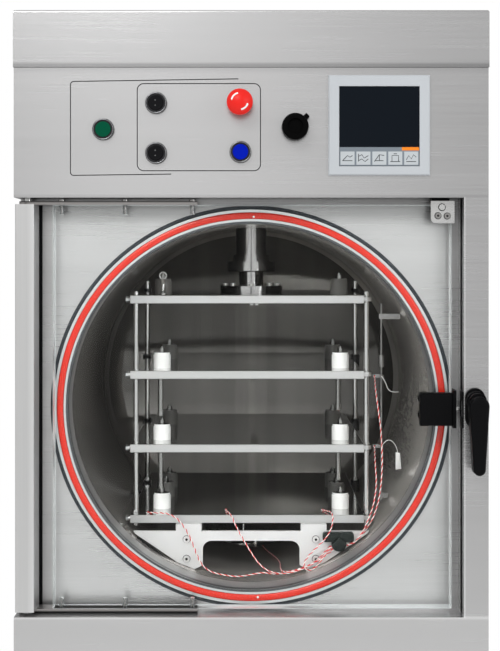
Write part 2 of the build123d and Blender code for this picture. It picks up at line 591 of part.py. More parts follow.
with BuildPart() as ram_shaft:
    disc(SHAFT_R, SHAFT_BOTTOM_Z, PISTON_TOP_Z)
    disc(PISTON_R, PISTON_TOP_Z - PISTON_HEIGHT, PISTON_TOP_Z)
    disc(RAM_FLANGE_R, SHAFT_BOTTOM_Z, SHAFT_BOTTOM_Z + RAM_FLANGE_HEIGHT)
    disc(RAM_FLANGE_R - 2.0, PLATE_TOP_Z[1], SHAFT_BOTTOM_Z)
    with Locations((0, back(RAM_DEPTH), SHAFT_BOTTOM_Z + RAM_FLANGE_HEIGHT)):
        with PolarLocations(RAM_SCREW_PCD / 2, 8):
            Cylinder(4.2, 4.0, align=(Align.CENTER, Align.CENTER, Align.MIN))
write(ram_shaft, "ram_shaft")


# ---------------------------------------------------------------- sensors in the chamber
SENSOR_X = 201.0
SENSOR_DEPTH = 200.0
SENSOR_Z = (929.0, 1233.0)
PLUG_PLACE = (130.0, 879.5)
CLIP_HEIGHTS = (1121.0, 1013.0)
CLIP_X = 187.5

with BuildPart() as sensor_rod:
    bar(1.6, (SENSOR_X, SENSOR_DEPTH, SENSOR_Z[0]), (0, 0, 1), SENSOR_Z[1] - SENSOR_Z[0])
    bar(4.5, (SENSOR_X, SENSOR_DEPTH, 1134.5), (0, 0, 1), 18.5)
    for height in (SENSOR_Z[0] + 8.0, SENSOR_Z[1] - 20.0):
        wall_x = sqrt((CHAMBER_BORE_R - FIT) ** 2 - (abs(CHAMBER_AXIS_Z - height) + 4) ** 2)
        block((SENSOR_X - 4.0, wall_x), (SENSOR_DEPTH - 4.0, SENSOR_DEPTH + 4.0),
              (height - 4.0, height + 4.0))
    # ring clips whose tabs hold the ends of two leads
    for height in CLIP_HEIGHTS:
        bar(4.5, (SENSOR_X, SENSOR_DEPTH, height - 2.5), (0, 0, 1), 5.0)
        block((CLIP_X, SENSOR_X), (SENSOR_DEPTH - 3.0, SENSOR_DEPTH + 3.0),
              (height - 2.5, height + 2.5))
write(sensor_rod, "sensor_rod")

PLUG_R = 11.0
PLUG_THICKNESS = 9.0
CLAMP_SIZE = (46.0, 14.0)       # the clamp plate across the plug's upper half
CLAMP_OFFSET = (-1.0, 10.0)
TERMINAL_SIDE = 14.0            # the square terminal block, set on its corner
TERMINAL_PROUD = 4.0

with BuildPart() as thermocouple_plug:
    plug_back = BRACKET_DEPTHS[0]
    bar(PLUG_R, (PLUG_PLACE[0], plug_back, PLUG_PLACE[1]), (0, -1, 0), PLUG_THICKNESS)
    with BuildSketch(front_plane(plug_back)):
        with Locations((PLUG_PLACE[0] + CLAMP_OFFSET[0], PLUG_PLACE[1] + CLAMP_OFFSET[1])):
            RectangleRounded(*CLAMP_SIZE, 4.0)
    extrude(amount=PLUG_THICKNESS)
    with BuildSketch(front_plane(plug_back - PLUG_THICKNESS)):
        with Locations(PLUG_PLACE):
            Rectangle(TERMINAL_SIDE, TERMINAL_SIDE, rotation=45)
    extrude(amount=TERMINAL_PROUD)
write(thermocouple_plug, "thermocouple_plug")


# ---------------------------------------------------------------- door
STRAP_RIGHT_X = -76.0
STILE_X = (-330.7, -304.0)
STILE_Z = (DOOR_BOTTOM_Z, DOOR_TOP_Z)
STILE_DEPTH = (0.0, 45.0)
STRAP_SCREW_X = (-269.5, -179.4, -83.5)
CORNER_X = (254.0, 287.4)
CORNER_Z = (1352.0, 1383.5)
HINGE_BOTTOM_Z = DOOR_BOTTOM_Z - STRAP_THICKNESS

with BuildPart() as door_plate:
    block((DOOR_LEFT_X, DOOR_RIGHT_X), (DOOR_FRONT, DOOR_BACK), (DOOR_BOTTOM_Z, DOOR_TOP_Z))
    chamfer(door_plate.edges(), length=1.2)
    for screw_x in STRAP_SCREW_X:
        for start_z, direction in ((DOOR_TOP_Z, -1), (DOOR_BOTTOM_Z, 1)):
            bar(3.1, (screw_x, DOOR_MID, start_z), (0, 0, direction), 14.0, mode=Mode.SUBTRACT)
    for bolt_z in (LATCH_Z - 12.0, LATCH_Z + 12.0):
        bar(3.6, (248.0, DOOR_FRONT - 1, bolt_z), (0, 1, 0), DOOR_THICKNESS + 2, mode=Mode.SUBTRACT)
    for screw_x, screw_z in ((264.0, 1362.6), (277.0, 1362.2)):
        bar(2.1, (screw_x, DOOR_FRONT - 1, screw_z), (0, 1, 0), 13.0, mode=Mode.SUBTRACT)
write(door_plate, "door_plate")

with BuildPart() as hinge_straps:
    for low in (DOOR_TOP_Z, HINGE_BOTTOM_Z):
        with BuildSketch(Plane.XY.offset(low)):
            with Locations(((HINGE_X + STRAP_RIGHT_X) / 2, back(DOOR_MID))):
                Rectangle(STRAP_RIGHT_X - HINGE_X, DOOR_THICKNESS)
            with Locations((HINGE_X, back(DOOR_MID))):
                Circle(DOOR_THICKNESS / 2)
                Circle(HINGE_PIN_R + RUNNING, mode=Mode.SUBTRACT)
            with Locations(*[(screw_x, back(DOOR_MID)) for screw_x in STRAP_SCREW_X]):
                Circle(3.1, mode=Mode.SUBTRACT)
        extrude(amount=STRAP_THICKNESS)
write(hinge_straps, "hinge_straps")

with BuildPart() as door_screws:
    for screw_x in STRAP_SCREW_X:
        for head_z, direction in ((DOOR_TOP_Z + STRAP_THICKNESS, -1), (HINGE_BOTTOM_Z, 1)):
            bar(3.0, (screw_x, DOOR_MID, head_z), (0, 0, direction), STRAP_THICKNESS + 13.0)
            if direction < 0:
                bar(5.0, (screw_x, DOOR_MID, head_z), (0, 0, 1), 2.6)
    for screw_x, screw_z in ((264.0, 1362.6), (277.0, 1362.2)):
        bar(4.2, (screw_x, DOOR_FRONT - 2.0, screw_z), (0, -1, 0), 2.4)
        bar(2.0, (screw_x, DOOR_FRONT - 2.0, screw_z), (0, 1, 0), 13.0)
write(door_screws, "door_screws")

with BuildPart() as hinge_stile:
    # a folded cover that turns with the straps, open at the back
    block(STILE_X, STILE_DEPTH, STILE_Z)
    fillet(hinge_stile.edges().filter_by(Axis.Z).group_by(Axis.Y)[0], radius=1.5)
    block((STILE_X[0] + SHEET, STILE_X[1] - SHEET), (STILE_DEPTH[0] + SHEET, STILE_DEPTH[1] + 1),
          (STILE_Z[0] + SHEET, STILE_Z[1] - SHEET), mode=Mode.SUBTRACT)
    bar(HINGE_PIN_R + 1, (HINGE_X, DOOR_MID, STILE_Z[0] - 1), (0, 0, 1), STILE_Z[1] - STILE_Z[0] + 2,
        mode=Mode.SUBTRACT)
write(hinge_stile, "hinge_stile")

with BuildPart() as hinge_pins:
    bar(HINGE_PIN_R, (HINGE_X, DOOR_MID, BAY_TOP_Z), (0, 0, -1), BAY_TOP_Z - DOOR_TOP_Z + 5.0)
    bar(HINGE_PIN_R, (HINGE_X, DOOR_MID, BAY_FLOOR_Z), (0, 0, 1), DOOR_BOTTOM_Z - BAY_FLOOR_Z + 5.0)
    bar(9.0, (HINGE_X, DOOR_MID, BAY_FLOOR_Z), (0, 0, 1), HINGE_BOTTOM_Z - BAY_FLOOR_Z - FIT)
write(hinge_pins, "hinge_pins")

with BuildPart() as corner_bracket:
    with BuildSketch(front_plane(DOOR_FRONT - 2.0)) as corner_outline:
        with Locations((sum(CORNER_X) / 2, sum(CORNER_Z) / 2)):
            Rectangle(CORNER_X[1] - CORNER_X[0], CORNER_Z[1] - CORNER_Z[0])
        lower_left = corner_outline.vertices().group_by(Axis.X)[0].sort_by(Axis.Y)[0]
        fillet(lower_left, radius=7.0)
        with Locations((264.0, 1362.6), (277.0, 1362.2)):
            Circle(2.1, mode=Mode.SUBTRACT)
    extrude(amount=-2.0)
    block((DOOR_RIGHT_X + 0.2, CORNER_X[1]), (DOOR_FRONT - 2.0, DOOR_MID), CORNER_Z)
    block(CORNER_X, (DOOR_FRONT - 2.0, DOOR_MID), (DOOR_TOP_Z, DOOR_TOP_Z + 2.0))
    hexagon(8.0, (269.7, DOOR_FRONT - 2.0, 1374.6), (0, -1, 0), 3.0)
write(corner_bracket, "corner_bracket")

LATCH_X = (237.5, 283.0)
LATCH_HEIGHT = 46.0
LATCH_FRONT = 4.0
LATCH_PLATE_X = (DOOR_RIGHT_X + 0.2, DOOR_RIGHT_X + 4.6)

with BuildPart() as latch_block:
    block(LATCH_X, (LATCH_FRONT, DOOR_FRONT), (LATCH_Z - LATCH_HEIGHT / 2, LATCH_Z + LATCH_HEIGHT / 2))
    chamfer(latch_block.edges().group_by(Axis.Y)[0], length=1.5)
    block((LATCH_X[1] - 4, LATCH_PLATE_X[1]), (LATCH_FRONT + 4.0, DOOR_FRONT - FIT),
          (LATCH_Z - 22.0, LATCH_Z + 22.0))
    block(LATCH_PLATE_X, (LATCH_FRONT + 4.0, DOOR_BACK - 5.0), (LATCH_Z - 26.5, LATCH_Z + 26.5))
    # two bolts through the door, each with a domed nut behind it
    for bolt_z in (LATCH_Z - 12.0, LATCH_Z + 12.0):
        bar(3.5, (248.0, DOOR_FRONT - 2, bolt_z), (0, 1, 0), DOOR_THICKNESS + 8.0)
        bar(9.0, (248.0, DOOR_BACK, bolt_z), (0, 1, 0), 9.0)
    bar(LATCH_PIN_R + RUNNING, (LATCH_PLATE_X[0] - 3, LATCH_DEPTH, LATCH_Z), (1, 0, 0), 20,
        mode=Mode.SUBTRACT)
write(latch_block, "latch_block")

with BuildPart() as latch_pin:
    bar(LATCH_PIN_R, (LATCH_PLATE_X[0], LATCH_DEPTH, LATCH_Z), (1, 0, 0), 295.6 - LATCH_PLATE_X[0])
    chamfer(latch_pin.edges().filter_by(GeomType.CIRCLE).sort_by(Axis.X)[-1], length=0.8)
write(latch_pin, "latch_pin")


# ---------------------------------------------------------------- latch on the column
RECEIVER_X = (BAY_RIGHT_X - 1.5, BAY_RIGHT_X)
RECEIVER_DEPTH = (5.0, 28.6)
RECEIVER_Z = (1064.0, 1115.0)
CAM_LENGTH = 22.6
CAM_ANGLE = -55.0               # where the cam points at rest, inside the column
CAM_DEPTH = (8.0, 14.0)
ESCUTCHEON = 6.0
LEVER_LENGTH = 100.0
LEVER_ARM = 21.0

with BuildPart() as latch_receiver:
    block(RECEIVER_X, RECEIVER_DEPTH, RECEIVER_Z)
    block((RECEIVER_X[0] - 1, RECEIVER_X[1] + 1), CAM_SLOT_DEPTH, CAM_SLOT_Z, mode=Mode.SUBTRACT)
write(latch_receiver, "latch_receiver")

spindle_plane = Plane(origin=(LEVER_X, back(0), LEVER_Z), x_dir=(1, 0, 0), z_dir=(0, -1, 0))
with BuildPart() as handle_escutcheon:
    with BuildSketch(spindle_plane):
        with Locations((0, -11.0)):
            SlotOverall(56.0, 28.0, rotation=90)
        Circle(SPINDLE_R + RUNNING, mode=Mode.SUBTRACT)
    extrude(amount=ESCUTCHEON)
    fillet(handle_escutcheon.faces().sort_by(Axis.Y)[0].outer_wire().edges(), radius=1.5)
write(handle_escutcheon, "handle_escutcheon")

with BuildPart() as lever_handle:
    with BuildSketch(spindle_plane.offset(FRONT_PROUD - LEVER_ARM)):
        with BuildLine():
            Line((13.6, -6), (8.4, 8.4 - LEVER_LENGTH))
            ThreePointArc((8.4, 8.4 - LEVER_LENGTH), (0, -LEVER_LENGTH), (-8.4, 8.4 - LEVER_LENGTH))
            Line((-8.4, 8.4 - LEVER_LENGTH), (-13.6, -6))
            ThreePointArc((-13.6, -6), (0, 8.5), (13.6, -6))
        make_face()
    extrude(amount=LEVER_ARM)
    fillet(lever_handle.faces().sort_by(Axis.Y)[0].outer_wire().edges(), radius=4.0)
    # two round steps of the hub, then the spindle with its cam
    bar(13.6, (LEVER_X, -ESCUTCHEON - FIT, LEVER_Z), (0, -1, 0), 13.0)
    bar(12.2, (LEVER_X, -ESCUTCHEON - FIT - 13.0, LEVER_Z), (0, -1, 0), 11.0)
    bar(SPINDLE_R, (LEVER_X, -ESCUTCHEON - FIT, LEVER_Z), (0, 1, 0), CAM_DEPTH[1] + ESCUTCHEON + FIT)
    with BuildSketch(spindle_plane.offset(-CAM_DEPTH[1])):
        cam_middle = (CAM_LENGTH / 2 * cos(radians(CAM_ANGLE)), CAM_LENGTH / 2 * sin(radians(CAM_ANGLE)))
        with Locations(cam_middle):
            SlotCenterToCenter(CAM_LENGTH, 8.0, rotation=CAM_ANGLE)
    extrude(amount=CAM_DEPTH[1] - CAM_DEPTH[0])
write(lever_handle, "lever_handle")

with BuildPart() as door_switch:
    block((256.0, 281.0), (22.0, 40.0), (1383.0, BAY_TOP_Z))
    chamfer(door_switch.edges().group_by(Axis.Z)[0], length=1.5)
write(door_switch, "door_switch")


# ---------------------------------------------------------------- controls on the header
BUTTON_RECESS_R = 11.2
BUTTON_R = 10.8
BUTTON_BACK = -4.2
STEM_R = 4.0
STEM_BACK = 6.0
CONTACT_BLOCK = (30.0, 42.0)
STOP_COLLAR_R = 14.0
STOP_COLLAR = 10.0
STOP_FRONT = -42.0
STOP_TRAVEL = 4.0
KNOB_FRONT = -24.0
KNOB_BASE = 3.0
KNOB_SHAFT_R = 3.0

with BuildPart() as button_bodies:
    for x, z in (*BUTTONS.values(), STOP_PLACE, KNOB_PLACE):
        collar_r, collar = BEZEL_R, BEZEL_PROUD
        if (x, z) == STOP_PLACE:
            collar_r, collar = STOP_COLLAR_R, STOP_COLLAR
        if (x, z) == KNOB_PLACE:
            collar_r, collar = 16.0, KNOB_BASE
        bar(collar_r, (x, 0, z), (0, -1, 0), collar)
        bar(BUTTON_HOLE_R, (x, 0, z), (0, 1, 0), SHEET + 6.0)
        hexagon(28.0, (x, SHEET, z), (0, 1, 0), 4.0)
        half = CONTACT_BLOCK[0] / 2
        block((x - half, x + half), (SHEET + 4.0, CONTACT_BLOCK[1]), (z - half, z + half))
        if (x, z) != KNOB_PLACE:
            bar(STEM_R + FIT, (x, -collar, z), (0, 1, 0), collar + STEM_BACK + 5.0, mode=Mode.SUBTRACT)
    for x, z in BUTTONS.values():
        bar(BUTTON_RECESS_R, (x, -BEZEL_PROUD, z), (0, 1, 0), BEZEL_PROUD - 0.8, mode=Mode.SUBTRACT)
    bar(KNOB_SHAFT_R + RUNNING, (KNOB_PLACE[0], -KNOB_BASE, KNOB_PLACE[1]), (0, 1, 0), 18.0,
        mode=Mode.SUBTRACT)
    bezel_rims = [edge for edge in button_bodies.edges().filter_by(GeomType.CIRCLE)
                  if abs(edge.radius - BEZEL_R) < 0.01 and abs(edge.center().Y - back(-BEZEL_PROUD)) < 0.01]
    fillet(bezel_rims, radius=1.6)
write(button_bodies, "button_bodies")


def push_button(place):
    """A flat button cap with its stem."""
    with BuildPart() as button:
        bar(BUTTON_R, (place[0], BUTTON_BACK, place[1]), (0, -1, 0), 4.3)
        fillet(button.edges().filter_by(GeomType.CIRCLE).sort_by(Axis.Y)[0], radius=0.8)
        bar(STEM_R, (place[0], BUTTON_BACK, place[1]), (0, 1, 0), STEM_BACK - BUTTON_BACK)
    return button


for button_name, button_place in BUTTONS.items():
    write(push_button(button_place), button_name)

with BuildPart() as emergency_stop_head:
    dome_rise = 9.0
    dome_r = (STOP_HEAD_R ** 2 + dome_rise ** 2) / (2 * dome_rise)
    dome_angle = asin(STOP_HEAD_R / dome_r)
    stop_axis = Axis((STOP_PLACE[0], 0, STOP_PLACE[1]), (0, 1, 0))
    stop_plane = Plane(origin=(STOP_PLACE[0], back(0), STOP_PLACE[1]), x_dir=(0, 1, 0), z_dir=(1, 0, 0))
    with BuildSketch(stop_plane):
        with BuildLine():
            Polyline((STOP_FRONT, 0), (STEM_BACK, 0), (STEM_BACK, STEM_R), (-16, STEM_R), (-16, 10.5),
                     (-22, 12.5), (-26, STOP_HEAD_R), (STOP_FRONT + dome_rise, STOP_HEAD_R))
            ThreePointArc((STOP_FRONT + dome_rise, STOP_HEAD_R),
                          (STOP_FRONT + dome_r * (1 - cos(dome_angle / 2)), dome_r * sin(dome_angle / 2)),
                          (STOP_FRONT, 0))
        make_face()
    revolve(axis=stop_axis)
write(emergency_stop_head, "emergency_stop_head")

with BuildPart() as knob:
    x, z = KNOB_PLACE
    bar(KNOB_R, (x, -KNOB_BASE - FIT, z), (0, -1, 0), -KNOB_FRONT - KNOB_BASE - FIT)
    fillet(knob.edges().filter_by(GeomType.CIRCLE).sort_by(Axis.Y)[0], radius=3.0)
    bar(11.0, (x, KNOB_FRONT, z), (0, 1, 0), 4.0, mode=Mode.SUBTRACT)
    bar(KNOB_SHAFT_R, (x, -KNOB_BASE - FIT, z), (0, 1, 0), 14.0)
    pointer = Plane(origin=(x, back(-KNOB_BASE - FIT), z), x_dir=(1, 0, 0), z_dir=(0, -1, 0))
    with BuildSketch(pointer):
        with Locations((15.5, 14.5)):
            RectangleRounded(7.0, 7.0, 1.5, rotation=43)
    extrude(amount=9.0)
write(knob, "knob")

WINDOW_X = (122.8, 235.2)
WINDOW_Z = (1430.9, 1542.8)
SCREEN_PROUD = 6.0
SCREEN_RECESS = 3.0
HOUSING_DEPTH = 48.0

with BuildPart() as screen_bezel:
    block(SCREEN_X, (-SCREEN_PROUD, 0), SCREEN_Z)
    chamfer(screen_bezel.edges().group_by(Axis.Y)[0], length=1.6)
    block((SCREEN_X[0] + 4.5, SCREEN_X[1] - 4.5), (0, HOUSING_DEPTH),
          (SCREEN_Z[0] + 4.5, SCREEN_Z[1] - 4.5))
    block(WINDOW_X, (-SCREEN_PROUD, -SCREEN_PROUD + SCREEN_RECESS), WINDOW_Z, mode=Mode.SUBTRACT)
write(screen_bezel, "screen_bezel")

with BuildPart() as touch_screen:
    block((WINDOW_X[0] + FIT, WINDOW_X[1] - FIT), (-SCREEN_PROUD + 1.2, -SCREEN_PROUD + SCREEN_RECESS),
          (WINDOW_Z[0] + FIT, WINDOW_Z[1] - FIT))
write(touch_screen, "touch_screen")


# ---------------------------------------------------------------- machinery in the lower cabinet
TRAY_Z = FOOT_HEIGHT + RAIL
TRAY_THICKNESS = 3.0
DECKED_Z = TRAY_Z + TRAY_THICKNESS
VESSEL_R = 150.0
VESSEL_BOTTOM_Z = 460.0
VESSEL_WALL = 4.0
COIL_X = 250.0
COIL_DEPTHS = (680.0, 730.0)
COIL_TOP_Z = 405.0
FIN_PITCH = 10.0
FIN_THICKNESS = 2.0
FIN_REACH = 22.0                # depth of the gaps between fins, from both faces
FAN_Z = 262.0
FAN_R = 120.0
FAN_DEPTH = 648.0
MOTOR_R = 34.0
COMPRESSOR_PLACE = (-170.0, 230.0)
COMPRESSOR_R = 90.0
COMPRESSOR_TOP_Z = 330.0

with BuildPart() as ice_condenser:
    place = (0, DUCT_DEPTH)
    bar(VESSEL_R, (*place, VESSEL_BOTTOM_Z), (0, 0, 1), CONDENSER_TOP_Z - VESSEL_BOTTOM_Z)
    fillet(ice_condenser.edges().filter_by(GeomType.CIRCLE).group_by(Axis.Z)[0], radius=30.0)
    bar(VESSEL_R + 14.0, (*place, CONDENSER_TOP_Z - 12.0), (0, 0, 1), 12.0)
    bar(VESSEL_R - VESSEL_WALL, (*place, VESSEL_BOTTOM_Z + 34.0), (0, 0, 1),
        CONDENSER_TOP_Z - VESSEL_BOTTOM_Z - 46.0, mode=Mode.SUBTRACT)
    bar(DUCT_R - 3.0, (*place, CONDENSER_TOP_Z - 14.0), (0, 0, 1), 20.0, mode=Mode.SUBTRACT)
    # vacuum pipe and drain pipe, both straight back to the rear panel
    bar(VACUUM_PORT_R - 5.0, (0, DUCT_DEPTH + VESSEL_R - 3, VACUUM_PORT[1]), (0, 1, 0),
        CABINET_DEPTH - DUCT_DEPTH - VESSEL_R + 3)
    bar(VACUUM_PORT_R, (0, CABINET_DEPTH - 8.0, VACUUM_PORT[1]), (0, 1, 0), 8.0)
    bar(VACUUM_BORE_R, (0, DUCT_DEPTH + VESSEL_R - 12, VACUUM_PORT[1]), (0, 1, 0), 300.0,
        mode=Mode.SUBTRACT)
    drain_pipe_r = DRAIN_PORT_R - 2.0
    bar(drain_pipe_r, (*place, DRAIN_PORT[1] - 10.0), (0, 0, 1), VESSEL_BOTTOM_Z - DRAIN_PORT[1] + 12.0)
    bar(drain_pipe_r, (0, DUCT_DEPTH - 10.0, DRAIN_PORT[1]), (0, 1, 0), CABINET_DEPTH - DUCT_DEPTH + 10.0)
    bar(DRAIN_PORT_R, (0, CABINET_DEPTH - 20.0, DRAIN_PORT[1]), (0, 1, 0), 20.0)
    bar(DRAIN_BORE_R, (0, DUCT_DEPTH, DRAIN_PORT[1]), (0, 1, 0), CABINET_DEPTH, mode=Mode.SUBTRACT)
    bar(DRAIN_BORE_R, (*place, DRAIN_PORT[1]), (0, 0, 1), VESSEL_BOTTOM_Z + 40.0 - DRAIN_PORT[1],
        mode=Mode.SUBTRACT)
write(ice_condenser, "ice_condenser")

with BuildPart() as condensing_unit:
    block((-290.0, 290.0), (POST_FRONT + 4.0, POST_REAR - 4.0), (TRAY_Z, DECKED_Z))
    # hermetic compressor: a domed can on its feet
    bar(COMPRESSOR_R, (*COMPRESSOR_PLACE, DECKED_Z + 20.0), (0, 0, 1), COMPRESSOR_TOP_Z - DECKED_Z - 20.0)
    fillet(condensing_unit.edges().filter_by(GeomType.CIRCLE), radius=30.0)
    for x, depth in ((-60, -60), (60, -60), (-60, 60), (60, 60)):
        bar(12.0, (COMPRESSOR_PLACE[0] + x, COMPRESSOR_PLACE[1] + depth, DECKED_Z), (0, 0, 1), 60.0)
    # finned coil, with a shroud plate and the fan's motor in front of it
    block((-COIL_X, COIL_X), COIL_DEPTHS, (DECKED_Z, COIL_TOP_Z))
    with Locations((0, back(COIL_DEPTHS[0]), (DECKED_Z + COIL_TOP_Z) / 2)):
        with GridLocations(FIN_PITCH, 1, round(2 * COIL_X / FIN_PITCH) - 1, 1):
            Box(FIN_PITCH - FIN_THICKNESS, 2 * FIN_REACH, COIL_TOP_Z - DECKED_Z - 24.0, mode=Mode.SUBTRACT)
    with Locations((0, back(COIL_DEPTHS[1]), (DECKED_Z + COIL_TOP_Z) / 2)):
        with GridLocations(FIN_PITCH, 1, round(2 * COIL_X / FIN_PITCH) - 1, 1):
            Box(FIN_PITCH - FIN_THICKNESS, 2 * FIN_REACH, COIL_TOP_Z - DECKED_Z - 24.0, mode=Mode.SUBTRACT)
    with BuildSketch(front_plane(FAN_DEPTH)):
        with Locations((0, (DECKED_Z + COIL_TOP_Z) / 2)):
            Rectangle(2 * COIL_X, COIL_TOP_Z - DECKED_Z)
        with Locations((0, FAN_Z)):
            Circle(FAN_R + 8.0, mode=Mode.SUBTRACT)
    extrude(amount=-2.0)
    for side in (-1, 1):
        wall_x = sorted((side * COIL_X, side * (COIL_X - 2.0)))
        block(wall_x, (FAN_DEPTH, COIL_DEPTHS[0]), (DECKED_Z, COIL_TOP_Z))
    block((-12.0, 12.0), (FAN_DEPTH - 70.0, FAN_DEPTH - 30.0), (DECKED_Z, FAN_Z))
    bar(MOTOR_R, (0, FAN_DEPTH - 80.0, FAN_Z), (0, 1, 0), 58.0)
    bar(5.0, (0, FAN_DEPTH - 30.0, FAN_Z), (0, 1, 0), 42.0)
write(condensing_unit, "condensing_unit")

with BuildPart() as fan_rotor:
    bar(26.0, (0, FAN_DEPTH - 12.0, FAN_Z), (0, 1, 0), 26.0)
    blade_length = FAN_R - 20.0
    with Locations(Plane(origin=(0, back(FAN_DEPTH + 1.0), FAN_Z), x_dir=(1, 0, 0), z_dir=(0, -1, 0))):
        with PolarLocations(20.0 + blade_length / 2, 5):
            with Locations(Location((0, 0, 0), (1, 0, 0), 30.0)):
                Box(blade_length, 64.0, 2.5)
    bar(5.0 + RUNNING, (0, FAN_DEPTH - 13.0, FAN_Z), (0, 1, 0), 40.0, mode=Mode.SUBTRACT)
write(fan_rotor, "fan_rotor")

with BuildPart() as hydraulic_unit:
    block((120.0, 285.0), (150.0, 400.0), (DECKED_Z, 290.0))
    fillet(hydraulic_unit.edges().filter_by(Axis.Z), radius=12.0)
    bar(42.0, (202.0, 230.0, 290.0), (0, 0, 1), 130.0)
    fillet(hydraulic_unit.faces().sort_by(Axis.Z)[-1].edges(), radius=10.0)
    block((170.0, 235.0), (310.0, 370.0), (290.0, 330.0))
write(hydraulic_unit, "hydraulic_unit")

BOX_X = (-120.0, 290.0)
BOX_Z = (1400.0, 1560.0)
BOX_DEPTHS = (640.0, REAR_INNER)

with BuildPart() as electrical_box:
    # a sheet box open to the front, with its lid set in the opening
    block(BOX_X, BOX_DEPTHS, BOX_Z)
    fillet(electrical_box.edges().filter_by(Axis.Y), radius=6.0)
    inner_x = (BOX_X[0] + SHEET, BOX_X[1] - SHEET)
    inner_z = (BOX_Z[0] + SHEET, BOX_Z[1] - SHEET)
    block(inner_x, (BOX_DEPTHS[0] - 1, BOX_DEPTHS[1] - SHEET), inner_z, mode=Mode.SUBTRACT)
    lid_x = (inner_x[0] + FIT, inner_x[1] - FIT)
    lid_z = (inner_z[0] + FIT, inner_z[1] - FIT)
    block(lid_x, (BOX_DEPTHS[0], BOX_DEPTHS[0] + SHEET), lid_z)
    inlet_x, inlet_z = INLET_PLACE
    block((inlet_x - 24.0, inlet_x + 24.0), (REAR_INNER - 5, CABINET_DEPTH),
          (inlet_z - 14.0, inlet_z + 14.0))
    block((inlet_x - 17.0, inlet_x + 17.0), (REAR_INNER - 15, CABINET_DEPTH + 1),
          (inlet_z - 9.0, inlet_z + 9.0), mode=Mode.SUBTRACT)
write(electrical_box, "electrical_box")


# ---------------------------------------------------------------- thermocouple leads
# Each lead is a tube along a hand-laid route of (x, depth, z) points; three of them
# start on the lowest plate, the others come down beside the stack.
LEAD_R = 1.0
LEAD_SHARE = 0.45               # share of the shorter run that an arc may use
LEAD_ROUTES = {
    "thermocouple_lead_1": [
        (-157.0, 142.0, 920.6), (-142.0, 136.0, 921.4), (-126.0, 127.0, 922.6), (-110.0, 117.5, 917.0),
        (-98.0, 114.0, 903.0), (-88.5, 113.0, 885.0), (-81.5, 112.5, 866.0), (-74.0, 112.0, 849.5),
        (-61.0, 111.5, 838.5), (-42.0, 111.5, 834.0), (-20.0, 111.5, 831.0), (1.0, 111.5, 834.5),
        (17.0, 111.5, 838.0), (35.0, 111.5, 835.0), (54.0, 111.5, 836.5), (73.0, 111.5, 842.5),
        (91.0, 111.5, 850.0), (104.0, 113.0, 861.5), (112.0, 115.0, 870.5), (119.0, 117.0, 875.8)],
    "thermocouple_lead_2": [
        (-38.4, 170.0, 920.2), (-37.4, 152.0, 920.8), (-34.0, 136.0, 922.6), (-29.0, 122.0, 919.5),
        (-22.5, 113.0, 905.5), (-12.0, 109.5, 887.0), (-0.5, 108.5, 868.5), (11.0, 108.5, 851.0),
        (26.0, 108.5, 839.5), (45.0, 108.5, 836.0), (65.0, 108.5, 839.0), (83.0, 108.5, 846.5),
        (98.0, 109.0, 854.5), (110.0, 110.5, 863.5), (121.6, 112.5, 871.2)],
    "thermocouple_lead_3": [
        (19.0, 335.0, 830.0), (24.0, 300.0, 830.6), (33.0, 264.0, 831.6), (41.0, 228.0, 832.6),
        (45.0, 192.0, 833.6), (44.0, 158.0, 834.0), (46.0, 130.0, 834.6), (58.0, 115.5, 838.0),
        (77.0, 114.3, 843.8), (94.0, 114.0, 851.5), (109.0, 115.0, 861.0), (121.6, 117.3, 871.2)],
    "thermocouple_lead_4": [
        (108.0, 170.0, 920.2), (114.0, 154.0, 920.8), (119.0, 138.0, 922.8), (122.0, 123.0, 919.5),
        (120.0, 111.5, 905.5), (112.0, 107.0, 890.5), (98.0, 105.5, 877.0), (84.0, 105.0, 863.5),
        (76.0, 104.5, 849.5), (82.0, 104.0, 841.8), (94.0, 104.5, 845.0), (104.5, 106.0, 858.0),
        (112.0, 107.8, 869.0), (119.0, 109.5, 875.8)],
    "thermocouple_lead_5": [
        (190.0, 196.7, 1121.0), (189.5, 182.0, 1119.0), (188.5, 166.0, 1111.0), (188.5, 151.0, 1097.0),
        (190.5, 141.0, 1078.0), (193.0, 136.0, 1057.0), (195.0, 134.0, 1034.0), (196.0, 132.0, 1009.0),
        (195.5, 130.0, 983.0), (193.0, 126.5, 959.0), (188.5, 122.0, 937.0), (181.0, 118.0, 916.5),
        (171.0, 115.5, 900.5), (160.5, 115.0, 888.0), (151.0, 116.0, 880.0), (141.6, 117.3, 878.4)],
    "thermocouple_lead_6": [
        (190.0, 196.7, 1013.0), (189.5, 182.0, 1011.0), (188.0, 166.0, 1003.0), (187.5, 151.0, 989.0),
        (188.0, 139.0, 971.0), (186.0, 129.0, 952.5), (181.5, 120.0, 935.0), (174.5, 113.5, 917.0),
        (166.5, 110.5, 900.5), (158.0, 110.0, 887.0), (150.0, 111.0, 879.5), (141.6, 112.5, 878.4)],
}


def lead_tube(route):
    """A tube along straight runs joined by arcs as large as the runs allow."""
    points = [Vector(x, back(depth), z) for x, depth, z in route]
    runs = [end - start for start, end in zip(points, points[1:])]
    radii = []
    for before, after in zip(runs, runs[1:]):
        half_turn = radians(before.get_angle(after)) / 2
        radii.append(LEAD_SHARE * min(before.length, after.length) / tan(half_turn))
    with BuildPart() as tube:
        with BuildLine() as path:
            FilletPolyline(*points, radius=radii)
        with BuildSketch(Plane(origin=path.line @ 0, z_dir=path.line % 0)):
            Circle(LEAD_R)
        sweep()
    return tube, path.wire().length, min(radii)


for lead_name, lead_route in LEAD_ROUTES.items():
    lead, lead_length, smallest = lead_tube(lead_route)
    print(f"{lead_name}: length {lead_length:.1f}, smallest radius {smallest:.1f}, "
          f"volume share {lead.part.volume / (lead_length * 3.14159 * LEAD_R ** 2):.4f}")
    write(lead, lead_name)
